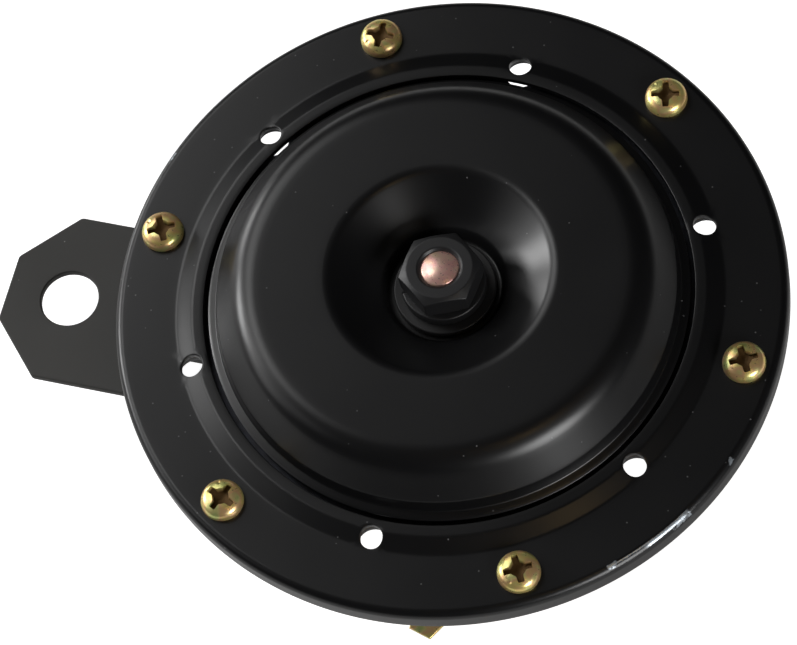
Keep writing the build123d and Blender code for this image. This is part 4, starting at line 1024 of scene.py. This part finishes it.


def screw_mesh():
    """A pan-head screw on the Z axis, seated at 0."""
    angles = [math.tau * k / SCREW_STEPS for k in range(SCREW_STEPS)]
    mouths = [mouth_reach(angle) for angle in angles]
    turn, distance, dimple_r, dimple_depth = DIMPLE
    dimple = Vector((distance * math.cos(math.radians(turn)), distance * math.sin(math.radians(turn))))

    def ring(reaches, heights):
        return [Vector((r * math.cos(a), r * math.sin(a), z)) for a, r, z in zip(angles, reaches, heights)]

    rings = []
    for share in FLOOR_SHARES:
        reaches = [(mouth - RECESS_DRAFT) * share for mouth in mouths]
        rings.append(ring(reaches, [recess_floor(r) for r in reaches]))
    lip_heights = [head_height(mouth) - LIP[1] for mouth in mouths]
    rings.append(ring([mouth - LIP[0] for mouth in mouths], lip_heights))
    for k in range(CROWN_RINGS + 1):
        reaches = [mouth + (HEAD_R * CROWN_SHARE - mouth) * k / CROWN_RINGS for mouth in mouths]
        rings.append(ring(reaches, [head_height(r) for r in reaches]))
        for point in rings[-1]:
            away = (point.xy - dimple).length / dimple_r
            point.z -= dimple_depth * max(0.0, 1 - away**2) ** 2
    for share in SIDE_SHARES:
        rings.append(circle(HEAD_R * share, head_height(HEAD_R * share), SCREW_STEPS))
    rings += [circle(HEAD_R, HEAD_EDGE, SCREW_STEPS), circle(HEAD_R - HEAD_EDGE, 0.0, SCREW_STEPS),
              circle(SCREW_R, 0.0, SCREW_STEPS)]
    thread = thread_rings(SCREW_R, SCREW_PITCH, -SCREW_LENGTH, -SCREW_SHANK, SCREW_TIP, 0.0, SCREW_STEPS)
    bm = bmesh.new()
    skin(bm, rings + thread[::-1], first_tip=Vector((0, 0, HEAD_HEIGHT - RECESS_DEPTH)),
         last_tip=Vector((0, 0, -SCREW_LENGTH)))
    # how far each point lies below the head's surface, which the plating turns into painted shade
    sunk_shade = bm.verts.layers.float.new("sunk_shade")
    for corner in bm.verts:
        away = corner.co.xy.length
        if corner.co.z > 0 and away < HEAD_R * RECESS_SHARE:
            below = head_height(away) - corner.co.z
            corner[sunk_shade] = min(1.0, max(0.0, (below - SUNK_FROM) / SUNK_OVER))
    return bm


# %% Place the screws and their nuts
SCREW_TURNS = (103.0, 180.0, 118.0, 68.0, 209.0, 28.0)   # where each recess stopped
RIM_NUT_FLATS = 7.0
RIM_NUT_HEIGHT = 3.2
RIM_NUT_EDGE = 0.1
flange_under = box_mm("rim_nuts")[1].z
screw_places = six(SCREW_ANGLE, SCREW_CIRCLE_R, SCREW_R)
for number, (place, screw_turn) in enumerate(zip(screw_places, SCREW_TURNS), start=1):
    angle, distance, _ = place
    spot = turned_by(angle) @ Matrix.Translation((distance, 0, 0)) @ turned_by(screw_turn - angle)
    first = number == 1    # it stands for the plain node of all six
    make_piece(f"rim_screw_{number}", screw_mesh(), "yellow_zinc", place=spot, crease=THREAD_CREASE,
               stands_for="rim_screws" if first else None)
    nut = nut_mesh(RIM_NUT_FLATS, flange_under - RIM_NUT_HEIGHT, flange_under, SCREW_R + 0.05)
    soften(make_piece(f"rim_nut_{number}", nut, "yellow_zinc", place=spot,
                      stands_for="rim_nuts" if first else None), RIM_NUT_EDGE)

# %% [markdown]
# ## Mounting bracket
# The bracket is one stamped strip: a round end under the can, a neck, and a wide tab with cut corners and
# one bolt hole. A flat stamping is easiest as a filled curve: Blender fills it, gives it its thickness,
# and rounds its edges, and the holes are simply more outlines.

# %% Fill flat outlines
MERGE_WITHIN = 0.002       # corners nearer to each other than this become one


def plate_mesh(name, outlines, low, high, edge):
    """A flat plate with rounded edges. The first outline is its outside, and any others are its holes."""
    curve = bpy.data.curves.new(name, "CURVE")
    curve.dimensions = "2D"
    curve.fill_mode = "BOTH"
    for outline in outlines:
        spline = curve.splines.new("POLY")
        spline.points.add(len(outline) - 1)
        for spot, point in zip(spline.points, outline):
            spot.co = (point[0] * mm, point[1] * mm, 0, 1)
        spline.use_cyclic_u = True
    curve.bevel_depth = edge * mm
    curve.bevel_resolution = 2
    curve.offset = -edge * mm
    curve.extrude = ((high - low) / 2 - edge) * mm
    holder = bpy.data.objects.new(name, curve)
    mesh = bpy.data.meshes.new_from_object(holder)
    bpy.data.objects.remove(holder)
    bpy.data.curves.remove(curve)
    mesh.transform(Matrix.Translation((0, 0, (low + high) / 2 * mm)))
    bm = bmesh.new()
    bm.from_mesh(mesh)
    bmesh.ops.remove_doubles(bm, verts=bm.verts, dist=MERGE_WITHIN * mm)
    bmesh.ops.recalc_face_normals(bm, faces=bm.faces)
    bm.to_mesh(mesh)
    bm.free()
    return mesh


def circle_outline(x, y, radius, steps=72):
    """A round hole's outline."""
    return [(x + radius * math.cos(math.tau * k / steps), y + radius * math.sin(math.tau * k / steps))
            for k in range(steps)]


# %% Make the bracket
BRACKET_HUB_R = 16.85
BRACKET_NECK_HALF = 7.5
BRACKET_NECK_END = 54.5
BRACKET_HALF = 16.85
BRACKET_CHAMFER = 9.8
BRACKET_END_HALF = 6.65
BRACKET_BEND = 3.0
TAB_BEND = 1.2
BRACKET_HOLE = (-79.15, 0.0, 5.55)
BRACKET_EDGE = 0.3
HUB_STEPS, FILLET_STEPS = 48, 8
bracket_low, bracket_high = box_mm("mounting_bracket")
bracket_end = bracket_low.x


def arc(middle, radius, start, end, steps):
    """Points on an arc between two angles in radians."""
    angles = [start + (end - start) * k / steps for k in range(steps + 1)]
    return [(middle[0] + radius * math.cos(angle), middle[1] + radius * math.sin(angle)) for angle in angles]


def bracket_outline():
    """The strip's outline: the round end, its fillets into the neck, the tab, and back."""
    rise = BRACKET_NECK_HALF + BRACKET_BEND
    fillet_middle = (-math.sqrt((BRACKET_HUB_R + BRACKET_BEND) ** 2 - rise**2), rise)
    half = arc((0, 0), BRACKET_HUB_R, 0.0, math.atan2(rise, fillet_middle[0]), HUB_STEPS)
    fillet_start = math.atan2(-rise, -fillet_middle[0])
    half += arc(fillet_middle, BRACKET_BEND, fillet_start, -math.pi / 2, FILLET_STEPS)[1:]
    tab = rounded_run(
        [half[-1], (-BRACKET_NECK_END, BRACKET_NECK_HALF), (-ring_r, BRACKET_HALF),
         (bracket_end + BRACKET_CHAMFER, BRACKET_HALF), (bracket_end, BRACKET_END_HALF), (bracket_end, 0.0)],
        [BRACKET_BEND, BRACKET_BEND, TAB_BEND, TAB_BEND], longest=8.0)
    half += [tuple(point) for point, _ in tab[1:]]
    return half + [(x, -y) for x, y in half[-2:0:-1]]


outlines = [bracket_outline(), circle_outline(0, 0, BORE_R), circle_outline(*BRACKET_HOLE)]
bracket_mesh = plate_mesh("bracket", outlines, bracket_low.z, bracket_high.z, BRACKET_EDGE)
dress("bracket_strip", bracket_mesh, "matt_black_paint", stands_for="mounting_bracket")

# %% [markdown]
# The core of the electromagnet runs out through the can's floor as a threaded stud, and the same washers
# and nut as in front clamp the bracket there. So the helper is used again, in plain plating.

# %% Fasten the bracket
POLE_R = 5.9
POLE_CHAMFER = 0.4
m8_fastening("bracket", "yellow_zinc", "horn_body", rolled=0.2, split_angle=70.0, nut_turn=0.0)
pole_low, pole_high = box_mm("pole_core")
rings = thread_rings(STUD_R, STUD_PITCH, pole_low.z, can_floor, STUD_CHAMFER, 0.0)
for radius, height in ((POLE_R, can_floor), (POLE_R, pole_high.z - POLE_CHAMFER),
                       (POLE_R - POLE_CHAMFER, pole_high.z)):
    rings.append(circle(radius, height, THREAD_STEPS))
bm = bmesh.new()
skin(bm, rings, first_tip=Vector((0, 0, pole_low.z)), last_tip=Vector((0, 0, pole_high.z)))
make_piece("threaded_pole", bm, "yellow_zinc", stands_for="pole_core", crease=THREAD_CREASE)

# %% [markdown]
# ## Terminals
# A phenolic board under the can carries two 6.3 mm blades, each held by a brass rivet. The blades' edges
# are coined to a slope so that the push-on sockets slide over them, and each has its detent hole.

# %% Make the board
BLADE_WAY = -106.0         # compass of the blades, from the X axis
BLADE_SIDES = (16.85, 5.65)
BOARD_LOW, BOARD_CORNER, BOARD_HIGH = 2.25, 11.45, 22.25
BOARD_START, BOARD_STEP, BOARD_END = 12.84, 19.2, 37.0
BOARD_STEP_WIDTH = 4.0
BOARD_SHEET = 2.0
BOARD_BEND = 1.2
BOARD_EDGE = 0.2
RIB_WIDTH, RIB_HEIGHT, RIB_BEND = 1.6, 2.0, 0.6
RIB_INSET = 1.0            # from the board's step and from its end
RIB_SINK = 0.1             # into the board
RIB_EDGE = 0.25
can_rear = housing_low.z
board_rear = can_rear - BOARD_SHEET
blade_way = Matrix.Rotation(math.radians(BLADE_WAY - 90), 2)


def terminal_points(points):
    """Points given as (beside, along) in the terminals' own frame, turned to where the blades point."""
    return [tuple(blade_way @ Vector((-side, along))) for side, along in points]


board = rounded_loop(
    [(BOARD_HIGH, BOARD_START), (BOARD_HIGH, BOARD_END), (BOARD_LOW, BOARD_END), (BOARD_LOW, BOARD_STEP),
     (BOARD_CORNER - BOARD_STEP_WIDTH, BOARD_STEP), (BOARD_CORNER, BOARD_START)], [BOARD_BEND] * 6)
board_mesh = plate_mesh("board", [terminal_points(board)], board_rear, can_rear, BOARD_EDGE)
dress("terminal_plate", board_mesh, "phenolic", stands_for="terminal_board")
rib_left, rib_right = (sum(BLADE_SIDES) / 2 + side * RIB_WIDTH / 2 for side in (1, -1))
rib_start, rib_end = BOARD_STEP + RIB_INSET, BOARD_END - RIB_INSET
rib = rounded_loop([(rib_left, rib_start), (rib_left, rib_end), (rib_right, rib_end), (rib_right, rib_start)],
                   [RIB_BEND] * 4)
rib_mesh = plate_mesh("rib", [terminal_points(rib)], board_rear - RIB_HEIGHT, board_rear + RIB_SINK, RIB_EDGE)
dress("terminal_rib", rib_mesh, "phenolic")

# %% Make the blades
BLADE_END = BOARD_END + 10.6
BLADE_HALF = 3.15
BLADE_TIP_HALF = 2.2
BLADE_TAPER = 3.6
BLADE_SHEET = 0.8
BLADE_EDGE = 0.22
DETENT = (4.6, 0.9)        # from the tip, and its radius
BLADE_STEPS, DETENT_STEPS = 24, 36
RIVET_CIRCLE_R = 24.0
for number, side in enumerate(BLADE_SIDES, start=1):
    along = math.sqrt(RIVET_CIRCLE_R**2 - side**2)
    tip = [(side - BLADE_HALF, BLADE_END - BLADE_TAPER), (side - BLADE_TIP_HALF, BLADE_END),
           (side + BLADE_TIP_HALF, BLADE_END), (side + BLADE_HALF, BLADE_END - BLADE_TAPER)]
    round_end = arc((side, along), BLADE_HALF, 0.0, -math.pi, BLADE_STEPS)
    detent = circle_outline(side, BLADE_END - DETENT[0], DETENT[1], DETENT_STEPS)
    outlines = [terminal_points([round_end[-1]] + tip + round_end[:-1]), terminal_points(detent)]
    blade_mesh = plate_mesh("blade", outlines, board_rear - BLADE_SHEET, board_rear, BLADE_EDGE)
    dress(f"blade_{number}", blade_mesh, "yellow_zinc", stands_for=f"blade_terminal_{number}")

# %% [markdown]
# ## Rivets and adjuster
# Rivet heads are low domes. The adjuster is a slotted screw in a bush with a lock nut: turning it moves the
# breaker, and the nut holds the note.

# %% Make the rivets that show at the rear
RIVET_HEAD_R, RIVET_HEAD = 2.5, 1.1   # radius and height of a rivet's head
RIM_SHARE = 0.3            # of the head's height, below its dome
RIVET_STEPS = 48


def rivet(name, node, shank_r, finish, x=None, stands_for=None):
    """A rivet with a low domed head at each end, in the middle of a plain node's box, or at x."""
    low, high = box_mm(node)
    seat, top = low.z + RIVET_HEAD, high.z - RIVET_HEAD
    rim = RIVET_HEAD * RIM_SHARE
    turns = [math.radians(turn) for turn in range(0, 90, 10)]
    dome = [(RIVET_HEAD_R * math.cos(turn), rim + (RIVET_HEAD - rim) * math.sin(turn)) for turn in turns]
    profile = [(0, low.z)] + [(r, seat - h) for r, h in reversed(dome)]
    profile += [(RIVET_HEAD_R, seat), (shank_r, seat), (shank_r, top), (RIVET_HEAD_R, top)]
    profile += [(r, top + h) for r, h in dome] + [(0, high.z)]
    spot = Matrix.Translation(((low.x + high.x) / 2 if x is None else x, (low.y + high.y) / 2, 0))
    make_piece(name, turned(profile, RIVET_STEPS), finish, place=spot, stands_for=stands_for)


for node, shank_r, finish in (("condenser_rivet", 1.6, "bright_steel"),
                              ("terminal_rivet_1", 1.7, "tinned_brass"),
                              ("terminal_rivet_2", 1.7, "tinned_brass")):
    rivet(f"{node}_closed", node, shank_r, finish, stands_for=node)
low, high = box_mm("support_rivets")
rivet("support_rivet_1", "support_rivets", 1.6, "bright_steel", low.x + RIVET_HEAD_R, "support_rivets")
rivet("support_rivet_2", "support_rivets", 1.6, "bright_steel", high.x - RIVET_HEAD_R)

# %% Make the adjuster
ADJUSTER_R = 2.45
ADJUSTER_PITCH = 0.8
ADJUSTER_CHAMFER = 0.5
ADJUSTER_FLATS = 8.0
LOCK_NUT_TURN = 12.0
LOCK_NUT_EDGE = 0.12
SLOT_HALF, SLOT_DEPTH, SLOT_TURN = 0.45, 1.2, 30.0
adjuster_low, adjuster_high = box_mm("adjusting_screw")
locknut_low, locknut_high = box_mm("adjuster_locknut")
adjuster_spot = Matrix.Translation((0, (adjuster_low.y + adjuster_high.y) / 2, 0))
nut = nut_mesh(ADJUSTER_FLATS, locknut_low.z, locknut_high.z, ADJUSTER_R + 0.05)
soften(make_piece("adjuster_lock_nut", nut, "yellow_zinc", stands_for="adjuster_locknut",
                  place=adjuster_spot @ turned_by(LOCK_NUT_TURN)), LOCK_NUT_EDGE)
bm = bmesh.new()
skin(bm, thread_rings(ADJUSTER_R, ADJUSTER_PITCH, adjuster_low.z, adjuster_high.z, ADJUSTER_CHAMFER,
                      ADJUSTER_CHAMFER),
     first_tip=Vector((0, 0, adjuster_low.z)), last_tip=Vector((0, 0, adjuster_high.z)))
adjuster = make_piece("slotted_adjuster", bm, "yellow_zinc", place=adjuster_spot,
                      stands_for="adjusting_screw", crease=THREAD_CREASE)

# %% [markdown]
# The screwdriver slot crosses the thread's many small faces, so here cutting is simpler than building: a
# bar is taken out of the screw's end with a Boolean modifier, and its result becomes the screw's mesh.

# %% Cut the adjuster's slot
reach = 2 * ADJUSTER_R
bar = [(-reach, -SLOT_HALF), (reach, -SLOT_HALF), (reach, SLOT_HALF), (-reach, SLOT_HALF)]
bm = bmesh.new()
skin(bm, [[Vector((x, y, z)) for x, y in bar] for z in (adjuster_low.z - 1, adjuster_low.z + SLOT_DEPTH)])
for end in (bm.verts[:4], bm.verts[4:]):
    bm.faces.new(end)
cutter = make_piece("slot_cutter", bm, "yellow_zinc", place=adjuster_spot @ turned_by(SLOT_TURN))
slot = adjuster.modifiers.new("slot", "BOOLEAN")
slot.operation = "DIFFERENCE"
slot.solver = "EXACT"
slot.object = cutter
adjuster.modifiers.move(len(adjuster.modifiers) - 1, 0)
bpy.context.view_layer.update()
cut_mesh = bpy.data.meshes.new_from_object(adjuster.evaluated_get(bpy.context.evaluated_depsgraph_get()))
adjuster.modifiers.clear()
adjuster.data = cut_mesh
bpy.data.objects.remove(cutter)
print("slotted adjuster", len(cut_mesh.polygons), "faces")

# %% Finish
bpy.context.scene.view_settings.view_transform = "Standard"
